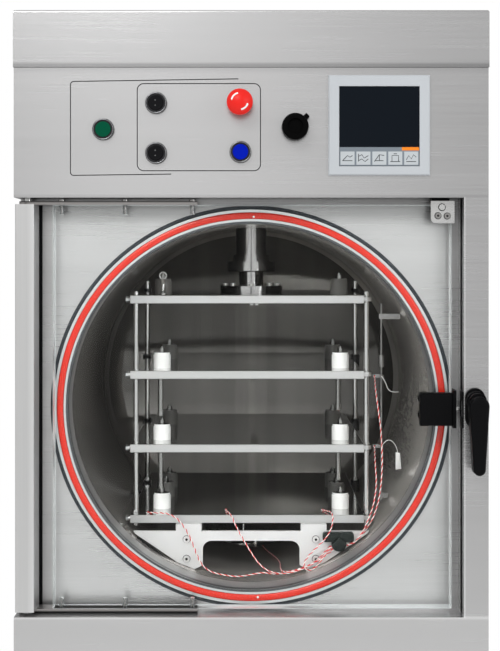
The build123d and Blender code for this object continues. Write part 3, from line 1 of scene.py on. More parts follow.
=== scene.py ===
# %% [markdown]
# # A laboratory freeze dryer
#
# The machine is a stainless cabinet with a round vacuum chamber behind a thick clear door.
# Its solids come ready made, in metres, as the fixed frame. This script gives each of them
# its finish and adds what the solids do not hold: printed lines, sensor wires, screw
# threads and the picture on the operator screen.

# %% Load the frame
import math
from functools import partial
import bpy
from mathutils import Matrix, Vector


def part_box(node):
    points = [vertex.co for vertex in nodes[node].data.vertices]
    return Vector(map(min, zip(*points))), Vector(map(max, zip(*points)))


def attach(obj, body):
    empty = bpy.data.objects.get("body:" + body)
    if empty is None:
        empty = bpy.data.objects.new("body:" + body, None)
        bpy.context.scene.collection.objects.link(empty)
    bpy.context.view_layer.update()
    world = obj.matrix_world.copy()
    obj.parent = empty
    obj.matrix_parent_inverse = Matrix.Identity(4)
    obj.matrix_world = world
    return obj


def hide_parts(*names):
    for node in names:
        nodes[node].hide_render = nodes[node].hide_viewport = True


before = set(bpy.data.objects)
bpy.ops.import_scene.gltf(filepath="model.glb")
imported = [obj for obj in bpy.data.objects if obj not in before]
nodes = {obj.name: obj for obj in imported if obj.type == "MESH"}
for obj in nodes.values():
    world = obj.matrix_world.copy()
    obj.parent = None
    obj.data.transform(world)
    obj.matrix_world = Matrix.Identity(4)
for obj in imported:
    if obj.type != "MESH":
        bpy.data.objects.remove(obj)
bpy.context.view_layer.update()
MM = 0.001

# %% [markdown]
# ## Camera
#
# A product photographer stands far back with a long lens, so that the cabinet's edges stay
# upright. Tilting the camera would make them converge. Shifting the lens looks lower
# without tilting, as a view camera does, so a shift is used here.

# %% Camera
FASCIA_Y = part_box("front_fascia")[0].y
CAMERA_AWAY = 1.9
CAMERA_HEIGHT = 1.3
LENS = 75.05
LENS_SHIFT = (-0.0018, -0.1006)
camera_data = bpy.data.cameras.new("studio_camera")
camera = bpy.data.objects.new("studio_camera", camera_data)
bpy.context.collection.objects.link(camera)
camera.location = (0.0, FASCIA_Y - CAMERA_AWAY, CAMERA_HEIGHT)
camera.rotation_euler = (math.radians(90), 0, 0)
camera_data.sensor_width = 36.0
camera_data.lens = LENS
camera_data.shift_x, camera_data.shift_y = LENS_SHIFT
bpy.context.scene.camera = camera
print("camera at", tuple(round(value, 3) for value in camera.location))

# %% [markdown]
# ## Node arithmetic
#
# A shading rule is a small sum, such as one level times another. Each helper here adds one
# node and returns its result socket, so a rule reads as one line. A socket knows the tree
# that it belongs to, so most helpers need not be told where they work.

# %% Node helpers
def join(source, target):
    """Join two sockets of a node tree."""
    source.id_data.links.new(source, target)


def feed(socket, term):
    """Give a socket a number, a plain tone, or another socket to follow."""
    if isinstance(term, bpy.types.NodeSocket):
        join(term, socket)
    else:
        socket.default_value = (*term, 1) if isinstance(term, tuple) else term


def arithmetic(operation, *terms):
    """A Math node; each term is a number or a socket."""
    tree = next(term.id_data for term in terms if isinstance(term, bpy.types.NodeSocket))
    step = tree.nodes.new("ShaderNodeMath")
    step.operation = operation
    for socket, term in zip(step.inputs, terms):
        feed(socket, term)
    return step.outputs[0]


times, plus, minus, over, under = (partial(arithmetic, operation) for operation in (
    "MULTIPLY", "ADD", "SUBTRACT", "GREATER_THAN", "LESS_THAN"))


def scaled(colour, amount):
    """A colour or vector socket multiplied by a value."""
    step = colour.id_data.nodes.new("ShaderNodeVectorMath")
    step.operation = "SCALE"
    join(colour, step.inputs[0])
    feed(step.inputs["Scale"], amount)
    return step.outputs["Vector"]


def ramp(fac, stops):
    """A ColorRamp with (place, grey or colour) stops."""
    step = fac.id_data.nodes.new("ShaderNodeValToRGB")
    elements = step.color_ramp.elements
    while len(elements) < len(stops):
        elements.new(1.0)
    for element, (place, tone) in zip(elements, stops):
        element.position = place
        colour = tone if isinstance(tone, tuple) else (tone, tone, tone)
        element.color = (*colour, 1.0)
    join(fac, step.inputs["Fac"])
    return step.outputs["Color"]


def mix_shaders(fac, first, second):
    """Mix two shader sockets."""
    step = fac.id_data.nodes.new("ShaderNodeMixShader")
    for socket, term in zip(step.inputs, (fac, first, second)):
        join(term, socket)
    return step.outputs[0]


def seen_directly(path):
    """1 where a ray comes straight from the camera or through the clear door."""
    return arithmetic("MAXIMUM", path.outputs["Is Camera Ray"],
                      path.outputs["Is Transmission Ray"])


print("node helpers ready")

# %% [markdown]
# ## Studio
#
# Stainless steel shows its surroundings more than its own colour. The world is white where
# the camera or the clear door looks at it, a soft grey level for fill light, and brighter
# in front than behind for reflections, as in a room with one bright wall. Two large soft
# lamps give the covers their gentle gradients.

# %% World
FILL_LEVEL = 0.75
GLOSS_GAIN = 1.34
GLOSS_STOPS = [(0.0, 0.30), (0.30, 0.42), (0.52, 0.80), (0.62, 1.0)]
SIDE_STOPS = [(0.0, 0.60), (0.18, 0.45), (0.32, 0.16), (0.39, 0.42), (0.425, 0.70),
              (0.448, 1.0), (0.48, 0.84), (0.50, 0.76), (0.535, 0.54), (0.575, 0.40),
              (0.605, 0.35), (0.67, 0.14), (0.80, 0.42), (1.0, 0.60)]

world = bpy.data.worlds.new("studio")
bpy.context.scene.world = world
world.use_nodes = True
sky = world.node_tree
sky.nodes.clear()
path_kind = sky.nodes.new("ShaderNodeLightPath")
direction = sky.nodes.new("ShaderNodeTexCoord")
spread = sky.nodes.new("ShaderNodeSeparateXYZ")
join(direction.outputs["Generated"], spread.inputs[0])
frontness = arithmetic("MULTIPLY_ADD", spread.outputs["Y"], -0.5, 0.5)
sideways = arithmetic("MULTIPLY_ADD", spread.outputs["X"], 0.5, 0.5)
gloss_tone = scaled(ramp(frontness, GLOSS_STOPS), ramp(sideways, SIDE_STOPS))
seen = seen_directly(path_kind)


def background(strength, colour=(1, 1, 1)):
    """A Background shader of the world."""
    step = sky.nodes.new("ShaderNodeBackground")
    step.inputs["Strength"].default_value = strength
    step.inputs["Color"].default_value = (1, 1, 1, 1)
    feed(step.inputs["Color"], colour)
    return step.outputs[0]


lit = mix_shaders(path_kind.outputs["Is Glossy Ray"], background(FILL_LEVEL),
                  background(GLOSS_GAIN, gloss_tone))
shown = mix_shaders(seen, lit, background(1.0))
world_out = sky.nodes.new("ShaderNodeOutputWorld")
join(shown, world_out.inputs["Surface"])
print("world nodes", len(sky.nodes))


# %% Lamps
def soft_lamp(name, place, aim, size, watts):
    """A soft box that looks at a point."""
    data = bpy.data.lights.new(name, "AREA")
    data.shape = "RECTANGLE"
    data.size, data.size_y = size
    data.energy = watts
    lamp = bpy.data.objects.new(name, data)
    bpy.context.collection.objects.link(lamp)
    lamp.location = place
    lamp.rotation_euler = (Vector(aim) - Vector(place)).to_track_quat("-Z", "Y").to_euler()
    print("lamp", name, watts, "W")


soft_lamp("key", (-0.9, -2.6, 3.0), (0, -0.2, 1.2), (1.4, 1.0), 30.0)
soft_lamp("side", (1.9, -2.2, 1.9), (0, -0.2, 1.1), (1.0, 1.6), 12.0)
bpy.context.scene.view_settings.view_transform = "Standard"

# %% Floor
FLOOR_HALF = 6.0
floor_mesh = bpy.data.meshes.new("floor")
floor_mesh.from_pydata([(x * FLOOR_HALF, y * FLOOR_HALF, 0.0) for x, y in (
    (-1, -1), (1, -1), (1, 1), (-1, 1))], [], [(0, 1, 2, 3)])
floor = bpy.data.objects.new("floor", floor_mesh)
bpy.context.collection.objects.link(floor)
floor_finish = bpy.data.materials.new("pale_floor")
floor_finish.use_nodes = True
floor_tree = floor_finish.node_tree
floor_shader = floor_tree.nodes["Principled BSDF"]
floor_shader.inputs["Base Color"].default_value = (0.93, 0.93, 0.93, 1)
floor_shader.inputs["Roughness"].default_value = 0.8
white_floor = floor_tree.nodes.new("ShaderNodeEmission")
white_floor.inputs["Color"].default_value = (1, 1, 1, 1)
floor_seen = seen_directly(floor_tree.nodes.new("ShaderNodeLightPath"))
join(mix_shaders(floor_seen, floor_shader.outputs[0], white_floor.outputs[0]),
     floor_tree.nodes["Material Output"].inputs["Surface"])
floor_mesh.materials.append(floor_finish)
print("floor", 2 * FLOOR_HALF, "m square")

# %% [markdown]
# ## Shader groups
#
# Sheet steel leaves the mill with fine parallel scratches. Cast, moulded and painted
# surfaces have a faint grain instead. Both effects serve many finishes, so each is a node
# group, built once and placed in each material with that material's own values. Only
# colours and values leave a group; the shader stays in the material.

# %% Group helpers
COLOUR, NUMBER, ARROW = "NodeSocketColor", "NodeSocketFloat", "NodeSocketVector"


def new_group(name, inputs, outputs):
    """An empty shader group. Returns its tree, what it is given and what it results in."""
    tree = bpy.data.node_groups.new(name, "ShaderNodeTree")
    for socket_name, kind, value in inputs:
        socket = tree.interface.new_socket(name=socket_name, in_out="INPUT", socket_type=kind)
        socket.default_value = value
    for socket_name, kind in outputs:
        tree.interface.new_socket(name=socket_name, in_out="OUTPUT", socket_type=kind)
    start, end = tree.nodes.new("NodeGroupInput"), tree.nodes.new("NodeGroupOutput")
    return tree, start.outputs, end.inputs


def noise(vector, scale, detail=2.0, rough=0.5):
    """A 3-D noise on a vector socket."""
    step = vector.id_data.nodes.new("ShaderNodeTexNoise")
    for name, term in (("Vector", vector), ("Scale", scale), ("Detail", detail),
                       ("Roughness", rough)):
        feed(step.inputs[name], term)
    return step.outputs["Fac"]


def object_place(tree):
    """The point on the piece, in metres from the machine's origin."""
    return tree.nodes.new("ShaderNodeTexCoord").outputs["Object"]


def swing(value, amount):
    """A noise, centred on zero, times an amount."""
    return times(minus(value, 0.5), amount)


print("group helpers ready")

# %% Brushed steel group
WIDENING = 0.035
brushed, given, result = new_group(
    "brushed_grain",
    [("Tone", COLOUR, (0.6, 0.6, 0.6, 1)), ("Stretch", ARROW, (6, 300, 700)),
     ("Streaks", NUMBER, 0.08), ("Patches", NUMBER, 0.05), ("Bands", NUMBER, 0.10),
     ("Roughness", NUMBER, 0.35)],
    [("Tone", COLOUR), ("Roughness", NUMBER), ("Height", NUMBER)])
stretched = brushed.nodes.new("ShaderNodeVectorMath")
stretched.operation = "MULTIPLY"
join(object_place(brushed), stretched.inputs[0])
join(given["Stretch"], stretched.inputs[1])
streak = noise(stretched.outputs[0], 1.0, 3.0, 0.65)
band = noise(scaled(stretched.outputs[0], WIDENING), 1.0, 2.0)
patch = noise(object_place(brushed), 3.2, 1.5)
streak_part = swing(streak, given["Streaks"])
patch_part = swing(patch, given["Patches"])
band_part = swing(band, given["Bands"])
level = plus(plus(streak_part, 1.0), plus(patch_part, band_part))
join(scaled(given["Tone"], level), result["Tone"])
join(plus(plus(given["Roughness"], streak_part), patch_part), result["Roughness"])
join(streak, result["Height"])
print("brushed grain nodes", len(brushed.nodes))

# %% Moulded and painted grain group
grain, given, result = new_group(
    "moulded_grain",
    [("Tone", COLOUR, (0.5, 0.5, 0.5, 1)), ("Grain Size", NUMBER, 900.0),
     ("Mottle", NUMBER, 0.06), ("Roughness", NUMBER, 0.4), ("Dust", NUMBER, 0.04)],
    [("Tone", COLOUR), ("Roughness", NUMBER), ("Height", NUMBER)])
fine = noise(object_place(grain), given["Grain Size"], 2.0)
soft = noise(object_place(grain), 14.0, 3.0)
uneven = swing(soft, given["Mottle"])
join(scaled(given["Tone"], plus(uneven, 1.0)), result["Tone"])
dusty = times(soft, given["Dust"])
join(plus(given["Roughness"], dusty), result["Roughness"])
join(fine, result["Height"])
print("moulded grain nodes", len(grain.nodes))


# %% Finish helpers
BUMP_REACH = 0.0002


def place_group(tree, group, values):
    """Put a shader group into a material with its own values. Returns its outputs."""
    step = tree.nodes.new("ShaderNodeGroup")
    step.node_tree = group
    for name, value in values.items():
        step.inputs[name].default_value = value
    return step.outputs


def new_finish(name, settings=()):
    """A material with one Principled shader. Returns the material, its tree and the shader."""
    material = bpy.data.materials.new(name)
    material.use_nodes = True
    shader = material.node_tree.nodes["Principled BSDF"]
    for socket, value in dict(settings).items():
        shader.inputs[socket].default_value = value
    return material, material.node_tree, shader


def feed_shader(shader, terms):
    """Feed the named inputs of a shader."""
    for name, term in terms.items():
        feed(shader.inputs[name], term)


def bump(shader, height, strength):
    """Feed a height to the shader's normal."""
    step = shader.id_data.nodes.new("ShaderNodeBump")
    feed_shader(step, {"Strength": strength, "Distance": BUMP_REACH, "Height": height})
    join(step.outputs["Normal"], shader.inputs["Normal"])


def brushed_finish(name, tone, stretch=(6, 300, 700), roughness=0.35, streaks=0.10,
                   patches=0.07, depth=0.05, bands=0.12, shade=None, metallic=0.8):
    """Sheet metal with parallel scratches. `shade` may return a factor socket for the tone."""
    material, tree, shader = new_finish(name, {"Metallic": metallic})
    made = place_group(tree, brushed, {
        "Tone": (*tone, 1), "Stretch": stretch, "Streaks": streaks, "Patches": patches,
        "Bands": bands, "Roughness": roughness})
    tone_out = scaled(made["Tone"], shade(tree)) if shade else made["Tone"]
    feed_shader(shader, {"Base Color": tone_out, "Roughness": made["Roughness"]})
    bump(shader, made["Height"], depth)
    return material


def plain_finish(name, tone, roughness=0.4, metallic=0.0, grain_size=900.0, mottle=0.06,
                 depth=0.10, specular=0.5):
    """A moulded, cast, painted or polished surface with a faint grain."""
    material, tree, shader = new_finish(
        name, {"Metallic": metallic, "Specular IOR Level": specular})
    made = place_group(tree, grain, {
        "Tone": (*tone, 1), "Grain Size": grain_size, "Mottle": mottle, "Roughness": roughness})
    feed_shader(shader, {"Base Color": made["Tone"], "Roughness": made["Roughness"]})
    bump(shader, made["Height"], depth)
    return material


def dress(material, *names):
    """Give a finish to CAD nodes."""
    for name in names:
        nodes[name].data.materials.clear()
        nodes[name].data.materials.append(material)


def dress_plain(rows):
    """Make a plain finish of each row and give it to the nodes that the row ends with."""
    for settings, names in rows:
        dress(plain_finish(*settings), *names.split())
    print("plain finishes", [settings[0] for settings, names in rows])


print("finish helpers ready")

# %% [markdown]
# ## Covers
#
# The covers are ground stainless sheet. On the front the grind runs from side to side; on
# the side panels it runs from front to back; on the hinge stile it runs upwards. One
# helper makes all three, with the scratches stretched along another axis each time.
#
# Light and shade are painted into the tone: the strips that line the recess get painted
# shade, the bends get painted highlights, and dark lines of painted shadow run under edges.
# A factor on the tone, worked out from the point's own place on the sheet, says where each
# of these begins.

# %% Cover shades
RECESS_TOP, RECESS_FLOOR = 1.3875, 0.7995
SHEET = 0.0015
HAIR = 0.0004
FRONT_LEVEL = 0.72
STILE_SHEET = 0.002


def parts_of(tree, kind="Object"):
    """The x, y and z of a point, or of the surface normal, as separate sockets."""
    split = tree.nodes.new("ShaderNodeSeparateXYZ")
    join(tree.nodes.new("ShaderNodeTexCoord").outputs[kind], split.inputs[0])
    return split.outputs


def graded(value, stops):
    """A smooth factor from (value, factor) stops along a coordinate."""
    low, high = stops[0][0], stops[-1][0]
    share = arithmetic("DIVIDE", minus(value, low), high - low)
    return ramp(share, [((at - low) / (high - low), factor) for at, factor in stops])


def fascia_shade(tree):
    """Painted shade on the folds in the recess, under the opening's top edge and under the
    hood; painted highlights on the bends; painted a little lighter below the recess.
    """
    x, y, z = parts_of(tree)
    fold = over(y, FASCIA_Y + SHEET)
    inside = times(under(z, RECESS_TOP + HAIR), over(z, RECESS_FLOOR - HAIR))
    # painted shade on the strips that line the recess, darkest on its ceiling
    reach = graded(z, [(0.780, 0.0), (0.7990, 0.0), (0.8000, 0.42), (1.3860, 0.42),
                       (1.3872, 0.86), (1.40, 0.86)])
    fold_shade = minus(1.0, times(times(fold, inside), reach))
    # painted highlight on the lower bend, painted shadow under the opening's top edge and under
    # the hood
    upright = graded(z, [(0.700, 0.77), (0.7960, 0.77), (0.7985, 1.0), (0.7995, 1.0),
                         (0.8000, 0.72), (1.3870, 0.72), (1.3876, 0.45), (1.3905, 0.72),
                         (1.5600, 0.72), (1.5735, 0.58)])
    # painted highlight on the bend at the recess's right side
    bend_highlight = graded(x, [(0.2900, 0.72), (0.2975, 0.72), (0.2982, 1.0), (0.2995, 1.0),
                      (0.3005, 0.72), (0.3335, 0.72)])
    beside = times(inside, minus(bend_highlight, FRONT_LEVEL))
    return times(fold_shade, arithmetic("DIVIDE", plus(upright, beside), FRONT_LEVEL))


def hood_shade(tree):
    """Painted shadow: a soft dark line along the seam below the hood."""
    return graded(parts_of(tree)[2], [(1.5735, 0.62), (1.5775, 0.97), (1.60, 1.0), (1.651, 1.0)])


def panel_shade(tree):
    """Painted shade: the panel is darker towards its upper edge and towards its left and right
    edges.
    """
    x, y, z = parts_of(tree)
    upper = graded(z, [(0.78, 1.0), (1.352, 1.0), (1.366, 0.74), (1.405, 0.66)])
    right = graded(x, [(-0.335, 0.85), (-0.290, 0.92), (-0.283, 1.0), (0.262, 1.0),
                       (0.285, 0.80), (0.335, 0.70)])
    return times(upper, right)


def stile_shade(tree):
    """Painted shade on its side fold and outer edge, and a painted highlight on the bend between
    side and front.
    """
    x, y, z = parts_of(tree)
    along = graded(x, [(-0.3308, 0.55), (-0.3300, 0.85), (-0.3140, 0.85), (-0.3060, 1.0),
                       (-0.3050, 1.0), (-0.3040, 0.92)])
    return minus(along, times(over(y, FASCIA_Y + STILE_SHEET), 0.12))


def strap_shade(tree):
    """Painted shadow: the upper strap is black along its top edge and the lower strap along its
    bottom edge.
    """
    return graded(parts_of(tree)[2], [(0.800, 0.02), (0.8030, 0.02), (0.8034, 0.85), (1.0, 0.85),
                                      (1.3818, 0.85), (1.3822, 0.02), (1.39, 0.02)])


print("cover shades ready")

# %% Cover finishes
ALONG_X = (5, 320, 620)
ALONG_Y = (320, 5, 620)
ALONG_Z = (620, 320, 5)
FRONT_GRIND = ((0.54, 0.538, 0.538), ALONG_X, 0.25, 0.13)
# finish, tone, stretch, roughness, streaks, patches | other values | nodes
COVERS = [
    (("ground_steel_front", *FRONT_GRIND), {}, "rear_panel"),
    (("ground_steel_hood", *FRONT_GRIND), {"shade": hood_shade}, "hood"),
    (("ground_steel_fascia", *FRONT_GRIND), {"shade": fascia_shade}, "front_fascia"),
    (("ground_steel_access", (0.578, 0.576, 0.575), ALONG_X, 0.25, 0.13), {},
     "lower_front_panel"),
    (("ground_steel_sides", (0.52, 0.518, 0.515), ALONG_Y), {},
     "side_panel_left side_panel_right"),
    (("ground_steel_recess", (0.52, 0.518, 0.517), ALONG_X, 0.30, 0.16, 0.34),
     {"bands": 0.24, "shade": panel_shade}, "bay_panel"),
    (("ground_steel_upright", (0.74, 0.74, 0.735), ALONG_Z, 0.32), {"shade": stile_shade},
     "hinge_stile"),
    (("ground_steel_straps", (0.42, 0.40, 0.39), ALONG_X, 0.30), {"shade": strap_shade},
     "hinge_straps"),
    (("ground_steel_fittings", (0.70, 0.70, 0.69), ALONG_X, 0.22), {}, "corner_bracket"),
]
for settings, others, names in COVERS:
    dress(brushed_finish(*settings, **others), *names.split())
print("covers", len(COVERS))
# finish, tone, roughness, metallic, grain size, mottle, bump | nodes
dress_plain([(("bead_blasted_steel", (0.70, 0.695, 0.69), 0.45, 0.25, 1200, 0.05, 0.06),
              "support_brackets")])

# %% [markdown]
# ## Position masks
#
# One solid often carries more than one finish: a rubber foot under a white post, or a
# bright face on a grey vessel. A mask built from the object coordinates tells the material
# which finish applies at a point. It moves with the piece, so it holds in every pose.

# %% Masks
def between(value, low, high):
    """1 where a value socket lies between two limits."""
    return times(over(value, low), under(value, high))


def distance(first, second):
    """How far a point lies from an axis, from its offsets along two axes."""
    return arithmetic("SQRT", plus(times(first, first), times(second, second)))


def mixed(fac, terms, kind, places, out):
    """One Mix node, with the places of its sockets for this kind of data."""
    step = fac.id_data.nodes.new("ShaderNodeMix")
    step.data_type = kind
    join(fac, step.inputs["Factor"])
    for place, term in zip(places, terms):
        feed(step.inputs[place], term)
    return step.outputs[out]


def mix_tones(fac, first, second):
    """Blend two colours; each is a socket or a plain tone."""
    return mixed(fac, (first, second), "RGBA", (6, 7), 2)


def mix_values(fac, first, second):
    """Blend two values; each is a socket or a number."""
    return mixed(fac, (first, second), "FLOAT", (2, 3), 0)


print("masks ready")

# %% [markdown]
# ## Vacuum chamber
#
# The flange face is turned and bright. Behind it the bore is lighter over its first five
# centimetres, up to the weld that joins the flange ring to the shell, and the shell itself
# is darker, electropolished metal. Light and shade are painted into the shell's tone: it is
# painted lighter towards the top, the right and the bottom, lighter in the middle of the
# domed head, and a painted reflection streak runs up the head's middle.

# %% Chamber finish
AXIS_Z = 1.0895
FLANGE_Y = FASCIA_Y + 0.050
WELD_Y = FASCIA_Y + 0.100
HEAD_Y = FASCIA_Y + 0.545
WELD_HALF = 0.0012
LIP_R, BORE_R = 0.2660, 0.2665
BEHIND_FLANGE = 0.002
chamber_finish, tree, shader = new_finish("electropolished_vessel")
x, y, z = parts_of(tree)
radius = distance(x, minus(z, AXIS_Z))
shell = place_group(tree, brushed, {
    "Tone": (0.30, 0.285, 0.265, 1), "Stretch": (900, 30, 20), "Streaks": 0.22,
    "Patches": 0.10, "Bands": 0.60, "Roughness": 0.15})

# the domed head at the back, then the round wall; both carry painted light and shade, and
# the head a painted reflection streak
head = over(y, HEAD_Y)
head_painted_light = graded(radius, [(0.0, 0.80), (0.10, 0.74), (0.17, 0.58), (0.24, 0.46),
                             (0.27, 0.40)])
head_painted_bands = graded(z, [(0.82, 2.6), (0.96, 1.9), (1.04, 0.80), (1.14, 0.86), (1.22, 1.3),
                        (1.37, 2.6)])
head_painted_streak = graded(x, [(-0.27, 1.0), (-0.031, 1.0), (-0.028, 1.22), (-0.008, 1.10),
                    (0.001, 1.42), (0.012, 1.12), (0.026, 1.22), (0.030, 1.0), (0.27, 1.0)])
head_tone = times(times(head_painted_light, head_painted_bands), head_painted_streak)
wall_painted_light = times(graded(x, [(-0.27, 0.62), (0.0, 1.2), (0.27, 2.1)]),
                   graded(z, [(0.80, 1.3), (0.95, 1.0), (1.15, 1.1), (1.26, 1.8), (1.37, 3.0)]))
shell_tone = scaled(shell["Tone"], mix_values(head, wall_painted_light, head_tone))

# the flange ring, the weld behind it and its face
ring_fade = arithmetic("DIVIDE", minus(y, FLANGE_Y), WELD_Y - FLANGE_Y)
ring_tone = ramp(ring_fade, [
    (0.0, (0.46, 0.46, 0.45)), (0.04, (0.46, 0.46, 0.45)), (0.06, (0.075, 0.078, 0.082)),
    (0.22, (0.10, 0.10, 0.105)), (0.30, (0.34, 0.34, 0.34)), (1.0, (0.40, 0.39, 0.38))])
in_ring = under(y, WELD_Y)
on_weld = between(y, WELD_Y - WELD_HALF, WELD_Y + WELD_HALF)
on_face = under(y, FLANGE_Y + HAIR)
face_tone = mix_tones(under(radius, LIP_R), (0.60, 0.615, 0.615), (0.10, 0.105, 0.11))
outside = times(over(radius, BORE_R), over(y, FLANGE_Y + BEHIND_FLANGE))
tone = mix_tones(in_ring, shell_tone, ring_tone)
tone = mix_tones(on_weld, tone, (0.07, 0.065, 0.06))
tone = mix_tones(on_face, tone, face_tone)
tone = mix_tones(outside, tone, (0.50, 0.50, 0.49))
feed_shader(shader, {
    "Base Color": tone, "Roughness": mix_values(in_ring, shell["Roughness"], 0.36),
    "Metallic": mix_values(in_ring, 0.42, mix_values(on_face, 0.35, 1.0))})
dress(chamber_finish, "chamber")
print("vessel finish nodes", len(tree.nodes))

# %% [markdown]
# ## Seals
#
# The silicone seal and the black edging are moulded. The edging is plain. The seal bulges
# out of its groove, and the light that slides along its crown shows this, so a turned ring
# with a rounded front stands for the plain solid. It is added with the other pieces.

# %% Seal finishes
red_silicone = plain_finish("red_silicone", (0.61, 0.022, 0.009), 0.20)
dress(plain_finish("black_edging", (0.030, 0.036, 0.042), 0.55, specular=0.3), "flange_trim")
print("seal finish", red_silicone.name)

# %% [markdown]
# ## Clear door
#
# Cast acrylic is nearly invisible face on, while its sawn edges catch light along their
# whole length. The edge faces are told apart by the surface normal, which the piece's own
# coordinates carry.

# %% Acrylic finish
ALIGNED = 0.9
acrylic, tree, shader = new_finish("clear_acrylic", {
    "Base Color": (0.985, 0.995, 0.992, 1), "Transmission Weight": 1.0, "IOR": 1.12,
    "Roughness": 0.0})
edge_shader = tree.nodes.new("ShaderNodeBsdfPrincipled")
feed_shader(edge_shader, {"Base Color": (0.80, 0.84, 0.84), "Transmission Weight": 0.55,
                          "IOR": 1.2, "Roughness": 0.25})
on_edge = under(arithmetic("ABSOLUTE", parts_of(tree, "Normal")["Y"]), ALIGNED)
clear = mix_shaders(on_edge, shader.outputs[0], edge_shader.outputs[0])
lamp_path = tree.nodes.new("ShaderNodeLightPath").outputs["Is Shadow Ray"]
unseen = tree.nodes.new("ShaderNodeBsdfTransparent").outputs[0]
join(mix_shaders(lamp_path, clear, unseen), tree.nodes["Material Output"].inputs["Surface"])
dress(acrylic, "door_plate")
print("acrylic nodes", len(tree.nodes))

# %% [markdown]
# ## Shelf stack
#
# The heat-transfer plates are machined aluminium. Each carries turned white posts with a
# steel nut on top; the posts, nuts and stop pins are one solid, parted by height. Posts
# towards the back are painted dark grey as shade.

# %% Shelf finishes
BUSH_MIDDLE, BUSH_X = 0.0015, 0.1702
BUSH_DEPTHS = (0.42, 0.44)
POST_BELOW_TOP, POST_HEIGHT = 0.033, 0.0239
PAINTED_SHADE_FROM = 0.205
POLYMER_PAINTED_SHADE = (0.17, 0.165, 0.155)


def plate_finish(number):
    """Machined edges, polished faces, and black bushes round the rear rods."""
    material, tree, shader = new_finish(f"plate_{number}", {"Metallic": 1.0})
    x, y, z = parts_of(tree)
    made = place_group(tree, brushed, {
        "Tone": (0.57, 0.57, 0.565, 1), "Stretch": (8, 300, 300), "Streaks": 0.06,
        "Patches": 0.04, "Roughness": 0.36})
    flat = over(arithmetic("ABSOLUTE", parts_of(tree, "Normal")["Z"]), ALIGNED)
    beside = over(arithmetic("ABSOLUTE", plus(x, BUSH_MIDDLE)), BUSH_X)
    bush = times(beside, between(y, *(FASCIA_Y + depth for depth in BUSH_DEPTHS)))
    feed_shader(shader, {
        "Base Color": mix_tones(bush, made["Tone"], (0.012, 0.012, 0.013)),
        "Roughness": mix_values(flat, made["Roughness"], 0.13), "Metallic": minus(1.0, bush)})
    return material


def post_finish(number):
    """White turned polymer with steel above and below, for one plate's posts, with painted
    shade on the posts towards the back.
    """
    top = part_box(f"shelf_{number}_posts")[1].z - POST_BELOW_TOP
    material, tree, shader = new_finish(f"post_{number}")
    x, y, z = parts_of(tree)
    made = place_group(tree, grain, {
        "Tone": (0.93, 0.93, 0.91, 1), "Grain Size": 1400.0, "Mottle": 0.05, "Roughness": 0.45})
    # posts more than 205 mm behind the front sheet are painted dark grey as shade
    body_tone = mix_tones(over(y, FASCIA_Y + PAINTED_SHADE_FROM), made["Tone"], POLYMER_PAINTED_SHADE)
    metal = minus(1.0, between(z, top, top + POST_HEIGHT))
    feed_shader(shader, {
        "Base Color": mix_tones(metal, body_tone, (0.30, 0.30, 0.29)), "Metallic": metal,
        "Roughness": mix_values(metal, made["Roughness"], 0.22)})
    bump(shader, made["Height"], 0.08)
    return material


for number in (1, 2, 3, 4):
    dress(plate_finish(number), f"shelf_{number}")
    dress(post_finish(number), f"shelf_{number}_posts")
# finish, tone, roughness, metallic, grain size, mottle, bump | nodes
dress_plain([
    (("polished_rod", (0.55, 0.55, 0.54), 0.08, 1.0, 600, 0.04, 0.02),
     "guide_rods latch_pin hinge_pins"),
    (("oxidised_rod", (0.30, 0.295, 0.29), 0.20, 1.0, 600, 0.08, 0.05), "sensor_rod"),
    (("bolt_steel", (0.42, 0.41, 0.40), 0.18, 1.0, 600, 0.10, 0.05), "door_screws"),
    (("bright_bolts", (0.72, 0.71, 0.70), 0.30, 0.6, 600, 0.10, 0.05), "bracket_bolts"),
])

# %% [markdown]
# ## Ram
#
# The ram is hard-chromed steel. The chamber that it mirrors is dark, and this reflection is
# painted into its tone from the surface normal: black at the sides, with a painted bright
# upright streak on each side of its middle.

# %% Ram finishes
RAM_Y = FASCIA_Y + 0.330
SCREW_HEIGHTS = (1.2583, 1.2625)
SCREW_RADII = (0.037, 0.047)
ram_steel, tree, shader = new_finish("chromed_ram", {"Metallic": 1.0})
made = place_group(tree, grain, {
    "Tone": (0.46, 0.455, 0.45, 1), "Grain Size": 500.0, "Mottle": 0.05, "Roughness": 0.10})
x, y, z = parts_of(tree)
from_axis = distance(x, minus(y, RAM_Y))
on_screw = times(between(z, *SCREW_HEIGHTS), between(from_axis, *SCREW_RADII))
# painted reflection: the sides dark, with a bright upright streak on each side of the middle
ram_painted_reflection = graded(parts_of(tree, "Normal")["X"], [
    (-1.0, 0.16), (-0.36, 0.16), (-0.30, 1.0), (-0.05, 0.90), (0.0, 0.30), (0.05, 0.90),
    (0.27, 1.0), (0.34, 0.16), (1.0, 0.16)])
feed_shader(shader, {
    "Base Color": mix_tones(on_screw, scaled(made["Tone"], ram_painted_reflection), (0.85, 0.84, 0.82)),
    "Roughness": mix_values(on_screw, made["Roughness"], 0.35)})
dress(ram_steel, "ram_shaft", "ram_gland")
dress_plain([(("black_enamel", (0.018, 0.018, 0.020), 0.25, 0.0, 500, 0.05, 0.05),
              "ram_cylinder")])

# %% [markdown]
# ## Latch and controls
#
# Handle and latch are powder coated in satin black, which shows as a fine bump. The
# buttons are glossy moulded caps in dark plated bezels.

